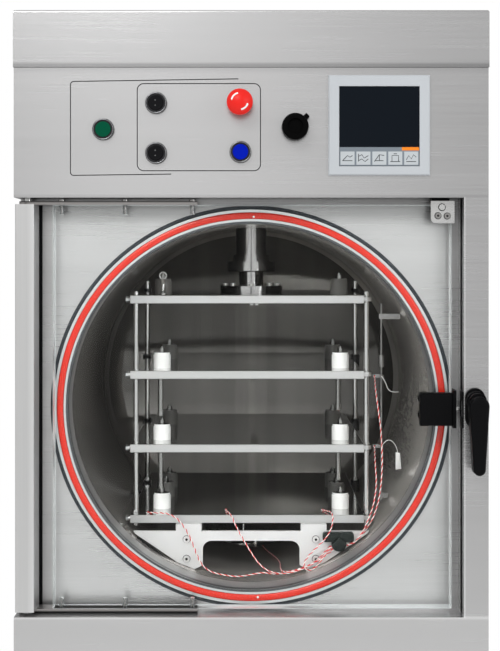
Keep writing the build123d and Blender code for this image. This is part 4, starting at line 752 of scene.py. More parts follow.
# %% Latch and control finishes
# finish, tone, roughness, metallic, grain size, mottle, bump, specular level | nodes
dress_plain([
    (("black_powder_coat", (0.0045, 0.0045, 0.005), 0.34, 0.0, 1100, 0.06, 0.25, 0.05),
     "latch_block latch_receiver handle_escutcheon lever_handle door_switch"),
    (("green_cap", (0.0, 0.075, 0.036), 0.25, 0.0, 1300, 0.05, 0.03, 0.05), "green_button"),
    (("blue_cap", (0.0, 0.010, 0.40), 0.25, 0.0, 1300, 0.05, 0.03, 0.05), "blue_button"),
    (("black_cap", (0.004, 0.004, 0.005), 0.28, 0.0, 1300, 0.05, 0.05, 0.10),
     "black_button_upper black_button_lower"),
    (("knob_black", (0.001, 0.001, 0.001), 0.42, 0.0, 1300, 0.05, 0.10, 0.04), "knob"),
    (("stop_red", (0.80, 0.016, 0.010), 0.34, 0.0, 1300, 0.05, 0.05, 0.25),
     "emergency_stop_head"),
    (("dark_plating", (0.035, 0.035, 0.037), 0.18, 1.0, 900, 0.05, 0.04), "button_bodies"),
    (("screen_frame_grey", (0.50, 0.525, 0.55), 0.40, 0.0, 1300, 0.03, 0.08, 0.3),
     "screen_bezel"),
    (("screen_glass", (0.004, 0.005, 0.007), 0.20, 0.0, 1500, 0.02, 0.0, 0.3),
     "touch_screen"),
    (("plug_plastic", (0.014, 0.020, 0.018), 0.48, 0.0, 900, 0.10, 0.20, 0.25),
     "thermocouple_plug"),
])

# %% [markdown]
# ## Machinery in the cabinet
#
# Behind the lower panel stand the ice condenser, the refrigeration unit and the hydraulic
# unit. They are painted or bare metal, so the same two helpers serve them.

# %% Machinery finishes
dress(brushed_finish("vessel_steel", (0.55, 0.55, 0.54), (90, 90, 400), 0.30, 0.08),
      "ice_condenser")
dress_plain([
    (("frame_paint", (0.17, 0.18, 0.19), 0.42, 0.0, 700, 0.08, 0.25),
     "base_frame hydraulic_unit"),
    (("box_paint", (0.42, 0.43, 0.43), 0.50, 0.0, 500, 0.05, 0.35), "electrical_box"),
    (("fan_plastic", (0.022, 0.022, 0.024), 0.45, 0.0, 1200, 0.06, 0.10), "fan_rotor"),
    (("compressor_paint", (0.020, 0.020, 0.022), 0.30, 0.0, 500, 0.08, 0.08),
     "condensing_unit"),
    (("foot_rubber", (0.022, 0.022, 0.023), 0.60, 0.0, 700, 0.08, 0.25), "levelling_feet"),
])

# %% [markdown]
# ## Piece helpers
#
# Every added piece is a plain mesh whose object sits at the origin, so that it moves as the
# solids do. `make_piece` builds one from parts, each a list of points and a list of faces,
# gives it a finish and lets it ride on a body.

# %% Piece helpers
NO_LENGTH = 1e-9


def place(x, depth, z):
    """A point given in millimetres: across, behind the front sheet, and up."""
    return Vector((x * MM, FASCIA_Y + depth * MM, z * MM))


def turns(count):
    """The angles that divide a full turn into equal steps."""
    return [2 * math.pi * step / count for step in range(count)]


def grid_faces(rows, columns, open_rows=0, open_columns=0):
    """The faces of a grid of points, closed both ways but for the rows left open."""
    faces = []
    for row in range(rows - open_rows):
        here, ahead = row * columns, (row + 1) % rows * columns
        for column in range(columns - open_columns):
            beside = (column + 1) % columns
            faces.append((here + column, ahead + column, ahead + beside, here + beside))
    return faces


def flipped(faces):
    """The same four-sided faces, turned to face the other way."""
    return [(first, fourth, third, second) for first, second, third, fourth in faces]


def merge(parts):
    """Several (points, faces) as one, with the part number of every face."""
    points, faces, owners = [], [], []
    for number, (part_points, part_faces) in enumerate(parts):
        shift = len(points)
        points += part_points
        faces += [tuple(corner + shift for corner in face) for face in part_faces]
        owners += [number] * len(part_faces)
    return points, faces, owners


def settle(name, mesh, body):
    """An object for a finished mesh, riding on a body."""
    piece = bpy.data.objects.new(name, mesh)
    bpy.context.collection.objects.link(piece)
    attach(piece, body)
    print(name, "faces", len(mesh.polygons))
    return piece


def make_piece(name, parts, finishes, body, shades=None, smooth=True):
    """A mesh piece made of parts. `shades` gives each part the number of its finish."""
    points, faces, owners = merge(parts)
    mesh = bpy.data.meshes.new(name)
    mesh.from_pydata(points, [], faces)
    mesh.validate()
    for material in finishes:
        mesh.materials.append(material)
    if shades is not None:
        mesh.polygons.foreach_set("material_index", [shades[owner] for owner in owners])
    mesh.polygons.foreach_set("use_smooth", [smooth] * len(mesh.polygons))
    mesh.update()
    return settle(name, mesh, body)


def tube_along(line, radius, sides=8, offset=None):
    """Points and faces of a round tube along a line of points. `offset` shifts each ring
    sideways: it is called with the arc length and returns two distances."""
    points = []
    travelled = 0.0
    side = Vector((0, 0, 1)).cross(line[1] - line[0])
    if side.length < NO_LENGTH:
        side = Vector((1, 0, 0))
    for index, point in enumerate(line):
        ahead = line[min(index + 1, len(line) - 1)] - line[max(index - 1, 0)]
        ahead.normalize()
        side = (side - ahead * side.dot(ahead)).normalized()
        other = ahead.cross(side)
        if index:
            travelled += (point - line[index - 1]).length
        middle = point
        if offset is not None:
            across, up = offset(travelled)
            middle = point + side * across + other * up
        points += [middle + (side * math.cos(angle) + other * math.sin(angle)) * radius
                   for angle in turns(sides)]
    caps = [tuple(range(sides)), tuple(reversed(range(len(points) - sides, len(points))))]
    return points, grid_faces(len(line), sides, open_rows=1) + caps


print("piece helpers ready")


# %% [markdown]
# ## Thermocouple leads
#
# Each lead is a twisted pair, one wire red and one white. The route is a NURBS curve
# through listed points, and both wires wind round its line. At the measuring end the
# wires part for a few millimetres, as they do where the bead is welded.

# %% Lead routes
LEAD_ROUTES = {
    1: [(-157, 142, 920.6), (-142, 136, 921.4), (-126, 127, 922.6), (-110, 117.5, 917),
        (-98, 114, 903), (-88.5, 113, 885), (-81.5, 112.5, 866), (-74, 112, 849.5),
        (-61, 111.5, 838.5), (-42, 111.5, 834), (-20, 111.5, 831), (1, 111.5, 834.5),
        (17, 111.5, 838), (35, 111.5, 835), (54, 111.5, 836.5), (73, 111.5, 842.5),
        (91, 111.5, 850), (104, 113, 861.5), (112, 115, 870.5), (119, 117, 875.8)],
    2: [(-38.4, 170, 920.2), (-37.4, 152, 920.8), (-34, 136, 922.6), (-29, 122, 919.5),
        (-22.5, 113, 905.5), (-12, 109.5, 887), (-0.5, 108.5, 868.5), (11, 108.5, 851),
        (26, 108.5, 839.5), (45, 108.5, 836), (65, 108.5, 839), (83, 108.5, 846.5),
        (98, 109, 854.5), (110, 110.5, 863.5), (121.6, 112.5, 871.2)],
    3: [(19, 335, 830), (24, 300, 830.6), (33, 264, 831.6), (41, 228, 832.6), (45, 192, 833.6),
        (44, 158, 834), (46, 130, 834.6), (58, 115.5, 838), (77, 114.3, 843.8), (94, 114, 851.5),
        (109, 115, 861), (121.6, 117.3, 871.2)],
    4: [(108, 170, 920.2), (114, 154, 920.8), (119, 138, 922.8), (122, 123, 919.5),
        (120, 111.5, 905.5), (112, 107, 890.5), (98, 105.5, 877), (84, 105, 863.5),
        (76, 104.5, 849.5), (82, 104, 841.8), (94, 104.5, 845), (104.5, 106, 858),
        (112, 107.8, 869), (119, 109.5, 875.8)],
    5: [(190, 196.7, 1121), (189.5, 182, 1119), (188.5, 166, 1111), (188.5, 151, 1097),
        (190.5, 141, 1078), (193, 136, 1057), (195, 134, 1034), (196, 132, 1009),
        (195.5, 130, 983), (193, 126.5, 959), (188.5, 122, 937), (181, 118, 916.5),
        (171, 115.5, 900.5), (160.5, 115, 888), (151, 116, 880), (141.6, 117.3, 878.4)],
    6: [(190, 196.7, 1013), (189.5, 182, 1011), (188, 166, 1003), (187.5, 151, 989),
        (188, 139, 971), (186, 129, 952.5), (181.5, 120, 935), (174.5, 113.5, 917),
        (166.5, 110.5, 900.5), (158, 110, 887), (150, 111, 879.5), (141.6, 112.5, 878.4)],
}
print("routes", len(LEAD_ROUTES))

# %% Leads
WIRE_R = 0.00066
WIRE_SPREAD = 0.00046
TWIST = 0.0105
PARTING = 0.007
START_SPREAD, END_SPREAD = 2.0, 1.8
STEPS_PER_SPAN = 26

# tone, roughness, metallic, grain size, mottle, bump, specular level
lead_red = plain_finish("lead_red", (0.74, 0.018, 0.016), 0.45, 0.0, 1500, 0.05, 0.05, 0.2)
lead_white = plain_finish("lead_white", (0.95, 0.94, 0.92), 0.45, 0.0, 1500, 0.05, 0.05, 0.3)


def nurbs_line(name, route):
    """The points of a smooth curve along a route, and its length."""
    data = bpy.data.curves.new(name, "CURVE")
    data.dimensions = "3D"
    spline = data.splines.new("NURBS")
    spline.points.add(len(route) - 1)
    for point, spot in zip(spline.points, route):
        point.co = (*place(*spot), 1.0)
    spline.order_u = 3
    spline.use_endpoint_u = True
    spline.resolution_u = STEPS_PER_SPAN
    curve = bpy.data.objects.new(name, data)
    mesh = bpy.data.meshes.new_from_object(curve)
    line = [vertex.co.copy() for vertex in mesh.vertices]
    bpy.data.objects.remove(curve)
    bpy.data.meshes.remove(mesh)
    return line, sum((end - start).length for start, end in zip(line, line[1:]))


def twist_offset(phase, parted_from, parted_to):
    """How far a wire lies from the lead's line at an arc length."""
    def offset(travelled):
        angle = 2 * math.pi * travelled / TWIST + phase
        spread = WIRE_SPREAD
        if travelled < parted_from:
            spread += WIRE_SPREAD * START_SPREAD * (1 - travelled / parted_from)
        if travelled > parted_to:
            spread += WIRE_SPREAD * END_SPREAD * min(1.0, (travelled - parted_to) / PARTING)
        return math.cos(angle) * spread, math.sin(angle) * spread
    return offset


for number, route in LEAD_ROUTES.items():
    line, measured = nurbs_line(f"lead_route_{number}", route)
    wires = [tube_along(line, WIRE_R, 6, twist_offset(phase, PARTING, measured - PARTING))
             for phase in (0.0, math.pi)]
    lead = make_piece(f"lead_{number}", wires, [lead_red, lead_white], "cabinet",
                      shades=(0, 1))
    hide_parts(f"thermocouple_lead_{number}")
    print(f"lead {number}: {measured * 1000:.0f} mm")

# %% [markdown]
# ## Printed lines
#
# The control group is framed by two thin printed lines with rounded corners. A print is
# only a film of ink, so each line is a flat ribbon a tenth of a millimetre in front of the
# sheet.

# %% Ink helpers
INK_DEPTH = -0.12
ink_black = plain_finish("black_ink", (0.010, 0.010, 0.011), 0.55, 0.0, 1500, 0.05, 0.02, 0.1)
ink_white = plain_finish("white_ink", (0.88, 0.88, 0.87), 0.45, 0.0, 1500, 0.03, 0.02)


def arc_points(centre_x, centre_z, radius, start, end, count=8):
    """(x, z) points round an arc, angles in degrees from +X towards +Z."""
    angles = [math.radians(start + (end - start) * step / count) for step in range(count + 1)]
    return [(centre_x + radius * math.cos(turn), centre_z + radius * math.sin(turn))
            for turn in angles]


def rounded_outline(x_range, z_range, radius):
    """The closed outline of a rectangle with rounded corners, as (x, z) points."""
    (left, right), (low, high) = x_range, z_range
    centres = [(right - radius, high - radius), (left + radius, high - radius),
               (left + radius, low + radius), (right - radius, low + radius)]
    return [point for quarter, (x, z) in enumerate(centres)
            for point in arc_points(x, z, radius, 90 * quarter, 90 * (quarter + 1))]


def ribbon(outline, width, depth, closed=False):
    """A flat ribbon along (x, z) points at one depth."""
    points, faces = [], []
    count = len(outline)
    for index, (x, z) in enumerate(outline):
        before = outline[(index - 1) % count] if closed or index else outline[index]
        after = outline[(index + 1) % count] if closed or index < count - 1 else outline[index]
        run = Vector((after[0] - before[0], after[1] - before[1])).normalized()
        across = Vector((-run.y, run.x)) * width / 2
        points += [place(x + across.x, depth, z + across.y),
                   place(x - across.x, depth, z - across.y)]
    for index in range(count if closed else count - 1):
        first, second = 2 * index, 2 * ((index + 1) % count)
        faces.append((first, first + 1, second + 1, second))
    return points, faces


def patch_of(x_range, z_range, depth):
    """A flat filled rectangle at one depth."""
    (left, right), (low, high) = x_range, z_range
    corners = [(left, low), (right, low), (right, high), (left, high)]
    return [place(x, depth, z) for x, z in corners], [(0, 1, 2, 3)]


print("inks", ink_black.name, ink_white.name)

# %% Printed outlines
INNER_X, INNER_Z = (-159.5, 13.0), (1425.0, 1547.0)
INNER_CORNER = 9.0
LINE_WIDTH = 1.25
OUTER_LEFT = -253.0
OUTER_TOP = (1550.0, 1553.6)
OUTER_BOTTOM = (1418.5, 1420.3)
OUTER_CORNER = 4.5
OUTER_ENDS = (-18.0, -112.0)
corner_x = OUTER_LEFT + OUTER_CORNER
outer = [(OUTER_ENDS[0], OUTER_TOP[1]),
         *arc_points(corner_x, OUTER_TOP[0] - OUTER_CORNER, OUTER_CORNER, 90, 180),
         *arc_points(corner_x, OUTER_BOTTOM[0] + OUTER_CORNER, OUTER_CORNER, 180, 270),
         (OUTER_ENDS[1], OUTER_BOTTOM[1])]
make_piece("printed_outlines", [
    ribbon(outer, LINE_WIDTH, INK_DEPTH),
    ribbon(rounded_outline(INNER_X, INNER_Z, INNER_CORNER), LINE_WIDTH, INK_DEPTH, True)],
    [ink_black], "cabinet", smooth=False)

# %% [markdown]
# ## Stop button arrows
#
# The arrows show which way to twist the mushroom head to release it. They are printed on
# its dome, so their points are lifted onto the sphere that the dome belongs to.

# %% Arrows on the stop button
STOP_X, STOP_Z = -15.7, 1518.0
DOME_FRONT = -42.0
DOME_R = 22.5
ARROW_R = 11.4
ARROW_WIDTH = 2.3
ARROW_HEAD = (1.6, 10)
ARROW_STEPS = 10


def on_dome(reach, angle):
    """A point just off the dome, by reach from its axis and angle in degrees."""
    turn = math.radians(angle)
    depth = DOME_FRONT + DOME_R - math.sqrt(DOME_R ** 2 - reach ** 2) + INK_DEPTH
    return place(STOP_X + reach * math.cos(turn), depth, STOP_Z + reach * math.sin(turn))


def arrow_on_dome(start, end):
    """A curved arrow from one angle to another; its head takes the last part."""
    points, faces = [], []
    head_half, head_turn = ARROW_HEAD
    neck = end - head_turn
    for step in range(ARROW_STEPS + 1):
        angle = start + (neck - start) * step / ARROW_STEPS
        points += [on_dome(ARROW_R + side * ARROW_WIDTH / 2, angle) for side in (-1, 1)]
    for step in range(ARROW_STEPS):
        faces.append((2 * step, 2 * step + 2, 2 * step + 3, 2 * step + 1))
    first = len(points)
    points += [on_dome(ARROW_R + side * head_half, neck) for side in (-1, 0, 1)]
    points.append(on_dome(ARROW_R, end))
    faces += [(first, first + 3, first + 1), (first + 1, first + 3, first + 2)]
    return points, faces


make_piece("stop_arrows", [arrow_on_dome(102, 172), arrow_on_dome(280, 348)], [ink_white],
           "emergency_stop", smooth=False)

# %% [markdown]
# ## Operator screen
#
# The screen shows a dark field above a strip of touch keys. Each key has a small line
# icon, and an orange tab marks the active page. The picture is a set of flat patches, each
# a few hundredths of a millimetre in front of the last.

# %% Screen picture
SCREEN_FRONT = -4.8
LAYER = 0.05
WINDOW_X = (123.4, 234.6)
WINDOW_TOP = 1542.2
STRIP_Z = (1431.6, 1457.6)
KEY_Z = (1433.0, 1451.5)
KEY_HALF = 0.44
ORANGE_X, ORANGE_Z = (210.5, 234.6), (1453.0, 1457.6)
ICON_Z = 1442.3
ICON_SCALE = (1.15, 1.2)
ICONS = [
    [[(-6, -3), (-3, 0), (0, 3), (3, 1), (6, 3)], [(-6, -3), (6, -3)]],
    [[(-6, 2), (-2, 4), (1, 0), (6, 3)], [(-6, -3), (-2, -1), (2, -4), (6, -1)],
     [(-6, -4), (-6, 5)]],
    [[(-6, -4), (0, 4), (6, 3)], [(-5, -3), (5, -3)], [(0, -3), (0, 4)]],
    [[(-4, -4), (-4, 3), (4, 3), (4, -4)], [(-2, 5), (2, 5)], [(-6, -4), (6, -4)]],
    [[(-6, -2), (-3, 3), (0, -1), (3, 4), (6, 1)], [(-6, -4), (6, -4)]],
]
DARK, STRIP, TAB, KEY, ICON = range(5)
picture = [plain_finish("screen_dark", (0.0050, 0.0075, 0.0115), 0.22, 0.0, 1500, 0.02, 0.0,
                        0.06)]
picture += [plain_finish(name, tone, 0.45, 0.0, 1500, 0.02, 0.0, 0.2) for name, tone in (
    ("strip_grey", (0.19, 0.22, 0.25)), ("tab_orange", (0.90, 0.24, 0.015)),
    ("key_pale", (0.50, 0.53, 0.55)), ("icon_dark", (0.030, 0.035, 0.040)))]

parts = [patch_of(WINDOW_X, (STRIP_Z[1], WINDOW_TOP), SCREEN_FRONT - LAYER),
         patch_of(WINDOW_X, STRIP_Z, SCREEN_FRONT - LAYER),
         patch_of(ORANGE_X, ORANGE_Z, SCREEN_FRONT - 2 * LAYER)]
shades = [DARK, STRIP, TAB]
pitch = (WINDOW_X[1] - WINDOW_X[0]) / len(ICONS)
for key, strokes in enumerate(ICONS):
    middle = WINDOW_X[0] + pitch * (key + 0.5)
    half = pitch * KEY_HALF
    parts.append(patch_of((middle - half, middle + half), KEY_Z, SCREEN_FRONT - 2 * LAYER))
    shades.append(KEY)
    for stroke in strokes:
        outline = [(middle + x * ICON_SCALE[0], ICON_Z + z * ICON_SCALE[1]) for x, z in stroke]
        parts.append(ribbon(outline, 1.0, SCREEN_FRONT - 3 * LAYER))
        shades.append(ICON)
make_piece("screen_picture", parts, picture, "cabinet", shades, smooth=False)

# %% [markdown]
# ## Repeated small parts
#
# Screw threads, bolt recesses and button rims are one profile repeated. A Geometry Nodes
# group puts a copy of the profile on each point of a point mesh and gives all copies one
# finish. Its result is then stored as a plain mesh.

# %% Repeater
SEED = 7
repeater = bpy.data.node_groups.new("repeat_on_points", "GeometryNodeTree")
for socket_name, side, kind in (
        ("Points", "INPUT", "Geometry"), ("Profile", "INPUT", "Object"),
        ("Finish", "INPUT", "Material"), ("Seed", "INPUT", "Int"),
        ("Turn Spread", "INPUT", "Float"), ("Copies", "OUTPUT", "Geometry")):
    socket = repeater.interface.new_socket(
        name=socket_name, in_out=side, socket_type="NodeSocket" + kind)
    if socket_name == "Seed":
        socket.default_value = SEED
(group_in, group_out, profile_info, copies, random_turn, turn_axis, turned, realized,
 painted) = (repeater.nodes.new(kind) for kind in (
     "NodeGroupInput", "NodeGroupOutput", "GeometryNodeObjectInfo",
     "GeometryNodeInstanceOnPoints", "FunctionNodeRandomValue", "ShaderNodeCombineXYZ",
     "GeometryNodeRotateInstances", "GeometryNodeRealizeInstances", "GeometryNodeSetMaterial"))
for source, output, target, entry in (
        (group_in, "Profile", profile_info, "Object"), (group_in, "Points", copies, "Points"),
        (profile_info, "Geometry", copies, "Instance"), (group_in, "Turn Spread", random_turn, 3),
        (group_in, "Seed", random_turn, "Seed"), (random_turn, 1, turn_axis, "Y"),
        (copies, "Instances", turned, "Instances"), (turn_axis, 0, turned, "Rotation"),
        (turned, "Instances", realized, "Geometry"), (realized, "Geometry", painted, "Geometry"),
        (group_in, "Finish", painted, "Material"), (painted, "Geometry", group_out, "Copies")):
    join(source.outputs[output], target.inputs[entry])
print("repeater nodes", len(repeater.nodes))


# %% Repeated pieces
def repeat_piece(name, spots, profile, finish, body, turn_spread=0.0):
    """Copies of a (points, faces) profile on spots, as one plain mesh riding on a body."""
    profile_mesh = bpy.data.meshes.new(name + "_profile")
    profile_mesh.from_pydata(profile[0], [], profile[1])
    profile_mesh.polygons.foreach_set("use_smooth", [True] * len(profile_mesh.polygons))
    profile_object = bpy.data.objects.new(name + "_profile", profile_mesh)
    spot_mesh = bpy.data.meshes.new(name + "_spots")
    spot_mesh.from_pydata(spots, [], [])
    carrier = bpy.data.objects.new(name + "_carrier", spot_mesh)
    bpy.context.collection.objects.link(profile_object)
    bpy.context.collection.objects.link(carrier)
    modifier = carrier.modifiers.new("repeat", "NODES")
    modifier.node_group = repeater
    sockets = {item.name: item.identifier for item in repeater.interface.items_tree
               if item.item_type == "SOCKET"}
    for socket_name, value in (("Profile", profile_object), ("Finish", finish),
                               ("Seed", SEED), ("Turn Spread", turn_spread)):
        modifier[sockets[socket_name]] = value
    bpy.context.view_layer.update()
    done = carrier.evaluated_get(bpy.context.evaluated_depsgraph_get())
    mesh = bpy.data.meshes.new_from_object(done)
    mesh.name = name
    bpy.data.objects.remove(carrier)
    bpy.data.objects.remove(profile_object)
    print(name, "copies", len(spots))
    return settle(name, mesh, body)


def ring_profile(radius, thickness, axis, sides=20, section=6):
    """A thin torus round an axis through the origin, in millimetres."""
    points = []
    for angle in turns(sides):
        for roll in turns(section):
            reach = (radius + thickness * math.cos(roll)) * MM
            lift = thickness * math.sin(roll) * MM
            across, up = reach * math.cos(angle), reach * math.sin(angle)
            points.append((across, up, lift) if axis == "Z" else (across, lift, up))
    return points, grid_faces(sides, section)


def socket_profile(radius, depth, sides=6):
    """A short prism facing forwards, centred on the origin, in millimetres."""
    rim = [(radius * MM * math.cos(turn), radius * MM * math.sin(turn))
           for turn in turns(sides)]
    points = [(x, 0.0, z) for x, z in rim] + [(x, -depth * MM, z) for x, z in rim]
    faces = [tuple(range(sides)), tuple(reversed(range(sides, 2 * sides)))]
    faces += [(k, k + sides, (k + 1) % sides + sides, (k + 1) % sides) for k in range(sides)]
    return points, faces


print("profiles ready")

# %% Screw threads in the clear plate
STRAP_SCREWS_X = (-269.5, -179.4, -83.5)
DOOR_MID = 32.5
DOOR_Z = (806.2, 1378.3)
THREAD_PITCH = 1.25
THREADS = 10
THREAD_R, THREAD_HALF = 3.05, 0.34
thread_steel = plain_finish("thread_steel", (0.06, 0.06, 0.06), 0.25, 1.0, 900, 0.10, 0.02)
spots = []
for screw_x in STRAP_SCREWS_X:
    for turn in range(THREADS):
        spots.append(place(screw_x, DOOR_MID, DOOR_Z[1] - 1.0 - turn * THREAD_PITCH))
        spots.append(place(screw_x, DOOR_MID, DOOR_Z[0] + 1.0 + turn * THREAD_PITCH))
repeat_piece("strap_screw_threads", spots, ring_profile(THREAD_R, THREAD_HALF, "Z"),
             thread_steel, "door")

# %% Bracket bolt recesses
BOLT_HEIGHTS = (885.0, 856.0)
BOLT_HEAD_R = 0.005
RECESS_SIZE, RECESS_GAP = (2.1, 0.15), 0.00002
SHADOW_RING_SIZE, SHADOW_RING_GAP = (5.3, 0.45), 0.0003
BRACKET_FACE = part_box("support_brackets")[0].y
bolt_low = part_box("bracket_bolts")[0]
bolt_x = abs(bolt_low.x) - BOLT_HEAD_R
painted_shade_black = plain_finish("painted_shade_black", (0.010, 0.010, 0.011), 0.60, 0.0, 900, 0.05,
                           0.02, 0.2)
# painted shade: a dark ring round each bolt head, and a dark hexagon for each socket where its
# hollow lies in shade
for name, level, profile, finish in (
        ("bolt_recesses", bolt_low.y - RECESS_GAP, socket_profile(*RECESS_SIZE), thread_steel),
        ("bolt_washers", BRACKET_FACE - SHADOW_RING_GAP, ring_profile(*SHADOW_RING_SIZE, "Y"),
         painted_shade_black)):
    spots = [Vector((side * bolt_x, level, height * MM))
             for side in (-1, 1) for height in BOLT_HEIGHTS]
    repeat_piece(name, spots, profile, finish, "cabinet")

# %% Corner bracket screws
CORNER_SCREWS = ((264.0, 1362.6), (277.0, 1362.2))
CORNER_NUT = (269.7, 1374.6)
CORNER_HEAD_DEPTH = 15.6
SCREW_SHADOW_SIZE, SOCKET_SIZE, NUT_SHADOW_SIZE = (4.5, 0.5), (1.7, 0.12), (4.9, 0.5)
# painted shade: dark rings round the two screw heads and the nut, and dark patches for the
# sockets
for name, depth, centres, profile in (
        ("corner_screw_rims", 1.9, CORNER_SCREWS, ring_profile(*SCREW_SHADOW_SIZE, "Y")),
        ("corner_screw_sockets", -0.02, CORNER_SCREWS, socket_profile(*SOCKET_SIZE)),
        ("corner_nut_rim", 2.0, [CORNER_NUT], ring_profile(*NUT_SHADOW_SIZE, "Y"))):
    spots = [place(x, CORNER_HEAD_DEPTH + depth, z) for x, z in centres]
    repeat_piece(name, spots, profile, painted_shade_black, "door")

# %% Button rims and marks
BUTTON_PLACES = {"green_button": (-206.8, 1482.6), "blue_button": (-15.0, 1451.0),
                 "black_button_upper": (-133.0, 1519.5),
                 "black_button_lower": (-133.0, 1449.4)}
RIM_DEPTH = -7.2
MARK_DEPTH = -8.53
MARK_LEFT, MARK_APART = 0.8, 3.6
BEZEL_RIM = (13.9, 0.7, "Y", 40, 10)
MARK_SIZE = (0.75, 0.08, 10)
rim_chrome = plain_finish("rim_chrome", (0.30, 0.30, 0.31), 0.14, 1.0, 900, 0.04, 0.02)
repeat_piece("button_rims", [place(x, RIM_DEPTH, z) for x, z in BUTTON_PLACES.values()],
             ring_profile(*BEZEL_RIM), rim_chrome, "cabinet")
# two small grey dots on each black cap are painted highlights
cap_glint_grey = plain_finish("cap_glint_grey", (0.22, 0.22, 0.22), 0.40, 0.0, 900, 0.05, 0.02)
for name in ("black_button_upper", "black_button_lower"):
    x, z = BUTTON_PLACES[name]
    spots = [place(x - MARK_LEFT, MARK_DEPTH, z + side * MARK_APART) for side in (-1, 1)]
    repeat_piece(name + "_marks", spots, socket_profile(*MARK_SIZE), cap_glint_grey, name)

# %% Fan guard
GUARD_RADII = (40, 60, 80, 100, 118)
GUARD_GAP, SPOKE_GAP = 0.006, 0.0018
GUARD_WIRE, SPOKE_R = 1.1, 0.0015
SPOKE_REACH = (0.038, 0.080, 0.127)
fan_low, fan_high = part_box("fan_rotor")
fan_middle = (fan_low + fan_high) / 2
guard_middle = Vector((fan_middle.x, fan_low.y - GUARD_GAP, fan_middle.z))
guard_steel = plain_finish("guard_wire", (0.05, 0.05, 0.05), 0.35, 0.6, 900, 0.05, 0.05)
guards = []
for radius in GUARD_RADII:
    ring_points, ring_faces = ring_profile(radius, GUARD_WIRE, "Y", 40, 6)
    guards.append(([Vector(spot) + guard_middle for spot in ring_points], ring_faces))
centre = Vector((fan_middle.x, fan_low.y - GUARD_GAP - SPOKE_GAP, fan_middle.z))
for spoke in range(4):
    angle = math.radians(45 + 90 * spoke)
    ray = Vector((math.cos(angle), 0, math.sin(angle)))
    guards.append(tube_along([centre + ray * reach for reach in SPOKE_REACH], SPOKE_R))
make_piece("fan_guard", guards, [guard_steel], "cabinet")

# %% [markdown]
# ## Small fittings in the chamber
#
# A lifting eye stands on the ram's plate. A drip dish hangs behind the support bracket, and
# dark strips along the bracket's slanted edges are painted shade in the gap against the
# shell. The sensor rod carries two bare wires, one of them with a paper tag.

# %% Lifting eye
EYE = (-133.0, 150.0)
EYE_TOP, EYE_R = 1276.5, 5.0
PLATE_TOP, PLATE_GAP = 1247, 0.05
EYE_WIRE, SHANK_R, COLLAR_R = 0.0013, 0.0030, 0.0052
fitting_steel = plain_finish("fitting_steel", (0.55, 0.55, 0.54), 0.16, 1.0, 700, 0.05, 0.03)
eye_ring = [place(EYE[0] + EYE_R * math.cos(turn), EYE[1], EYE_TOP + EYE_R * math.sin(turn))
            for turn in (*turns(24), 2 * math.pi)]
shank = [place(*EYE, z) for z in (PLATE_TOP + PLATE_GAP, PLATE_TOP + 12, EYE_TOP - EYE_R)]
collar = [place(*EYE, PLATE_TOP + lift) for lift in (PLATE_GAP, 3.0)]
eye_parts = [tube_along(eye_ring, EYE_WIRE), tube_along(shank, SHANK_R, 12),
             tube_along(collar, COLLAR_R, 6)]
make_piece("lifting_eye", eye_parts, [fitting_steel], "ram")

# %% Drip dish
DISH = (-12.0, 200.0)
DISH_Z = 864.0
DISH_OUTLINE = [(0.01, -3), (14, -3), (19.5, 0.5), (19.5, 2), (18, 1.5), (13.5, -1.8),
                (0.01, -1.8)]
STEM_HEIGHTS = (DISH_Z - 2.0, 885.0, 906.9)
PEG = (6.5, 178.0)
STEM_R, PEG_R = 0.0025, 0.0026
PEG_HEIGHTS = (862.0, 876.0)


def turned_shape(outline, axis_x, axis_depth, steps=32):
    """A shape turned on an upright axis from (radius, z) points."""
    points = [
        place(axis_x + radius * math.cos(angle), axis_depth + radius * math.sin(angle), z)
        for angle in turns(steps) for radius, z in outline]
    return points, flipped(grid_faces(steps, len(outline), open_columns=1))


make_piece("drip_dish", [
    turned_shape([(radius, DISH_Z + lift) for radius, lift in DISH_OUTLINE], *DISH),
    tube_along([place(*DISH, z) for z in STEM_HEIGHTS], STEM_R, 12),
    tube_along([place(*PEG, z) for z in PEG_HEIGHTS], PEG_R, 12)],
    [fitting_steel], "cabinet")

# %% Bracket gap shade
BRACKET_SHADE_DEPTH, BRACKET_SHADE_WIDTH = 113.5, 4.6
BRACKET_SHADE_LINES = ([(-111.5, 845.0), (-169.0, 889.3)], [(113.0, 846.0), (146.0, 869.5)])
# black ribbons along the bracket's slanted edges: painted shade in the gap at the shell
gap_shade_ribbons = [ribbon(line, BRACKET_SHADE_WIDTH, BRACKET_SHADE_DEPTH) for line in BRACKET_SHADE_LINES]
make_piece("bracket_edging", gap_shade_ribbons, [painted_shade_black], "cabinet", smooth=False)

# %% Bare wires, tag and seal marks
BARE_WIRE_R = 0.0005
BARE_WIRES = {
    "bare_wire_upper": [
        (201, 194, 1121), (207, 192, 1112), (210, 191, 1101), (218, 191, 1096), (227, 192, 1097)],
    "bare_wire_lower": [
        (201, 194, 1013.5), (206, 192, 1021), (214, 191, 1024), (222, 191, 1016),
        (226, 191.5, 1004), (227, 192, 990)],
}
for name, route in BARE_WIRES.items():
    line, length = nurbs_line(name + "_route", route)
    wire = make_piece(name, [tube_along(line, BARE_WIRE_R, 6)], [lead_white], "cabinet")
    print(name, round(length * 1000, 1), "mm")

TAG_SPOTS = [(222.5, 193, 1004), (229, 192, 1003), (231.5, 195, 978), (222.5, 194, 977),
             (226.5, 191, 990)]
tag = ([place(*spot) for spot in TAG_SPOTS], [(0, 1, 4), (1, 2, 4), (2, 3, 4), (3, 0, 4)])
make_piece("paper_tag", [tag], [ink_white], "cabinet", smooth=False)

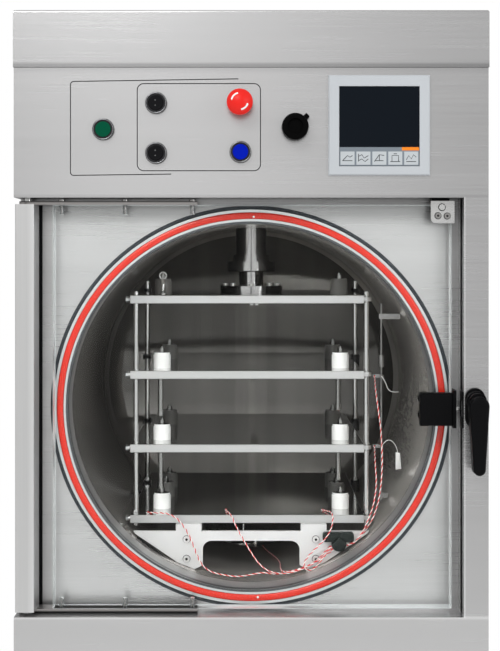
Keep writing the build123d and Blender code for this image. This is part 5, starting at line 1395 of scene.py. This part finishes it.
SEAL_MARKS = ((3.6, 1361.8), (9.5, 817.2))
MARK_R, MARK_DEPTHS = 0.0016, (44.9, 46.5)
marks = [tube_along([place(x, depth, z) for depth in MARK_DEPTHS], MARK_R, 10)
         for x, z in SEAL_MARKS]
make_piece("seal_marks", marks, [ink_white], "cabinet")

# %% [markdown]
# ## Door seal and painted shade in the recess
#
# The seal is one section turned round the chamber's axis: it fills its groove and ends in a
# low round crown. Turning a few points of that section gives the ring, with its faces
# shaded smooth. Flat black strips in the corners of the recess are painted shade.

# %% Door seal
SEAL_R = 274.2
SEAL_HALF = 4.6
SEAL_CROWN = 1.75
SEAL_ROOT = 54.6
FACE_DEPTH = 50.0
SEAL_TURNS = 180
crown = [(SEAL_R + SEAL_HALF * math.cos(math.radians(turn)),
          FACE_DEPTH - SEAL_CROWN * math.sin(math.radians(turn))) for turn in range(0, 181, 15)]
section = [(SEAL_R + SEAL_HALF, SEAL_ROOT), *crown, (SEAL_R - SEAL_HALF, SEAL_ROOT)]
ring = [place(radius * math.cos(angle), depth, AXIS_Z / MM + radius * math.sin(angle))
        for angle in turns(SEAL_TURNS) for radius, depth in section]
walls = flipped(grid_faces(SEAL_TURNS, len(section)))
seal = make_piece("seal_ring", [(ring, walls)], [red_silicone], "cabinet")
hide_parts("door_seal")

# %% Recess shade strips
SHADE_STRIP_LIFT = 0.15
RECESS_SIDE = 298.0
STRIP_DEPTHS = (16.0, 32.0)
right_x = RECESS_SIDE - SHADE_STRIP_LIFT
# across, depth and height of each strip, every one from its near or low end to its other
RECESS_SHADE_STRIPS = (((right_x, right_x), STRIP_DEPTHS, (800.0, 1063.0)),
                 ((right_x, right_x), STRIP_DEPTHS, (1116.0, 1387.0)),
                 ((-306.0, -300.8), (56.8, 56.8), (803.0, 1384.0)))
# flat black strips standing in the recess's corners: painted shade
recess_shade_strips = [([place(left, near, low), place(right, far, low), place(right, far, high),
            place(left, near, high)], [(0, 1, 2, 3)])
          for (left, right), (near, far), (low, high) in RECESS_SHADE_STRIPS]
shade_strip_black = plain_finish("shade_strip_black", (0.006, 0.006, 0.007), 0.70, 0.0, 900, 0.05, 0.02,
                            0.1)
make_piece("recess_gasket", recess_shade_strips, [shade_strip_black], "cabinet", smooth=False)

# %% Done
print("scene built")
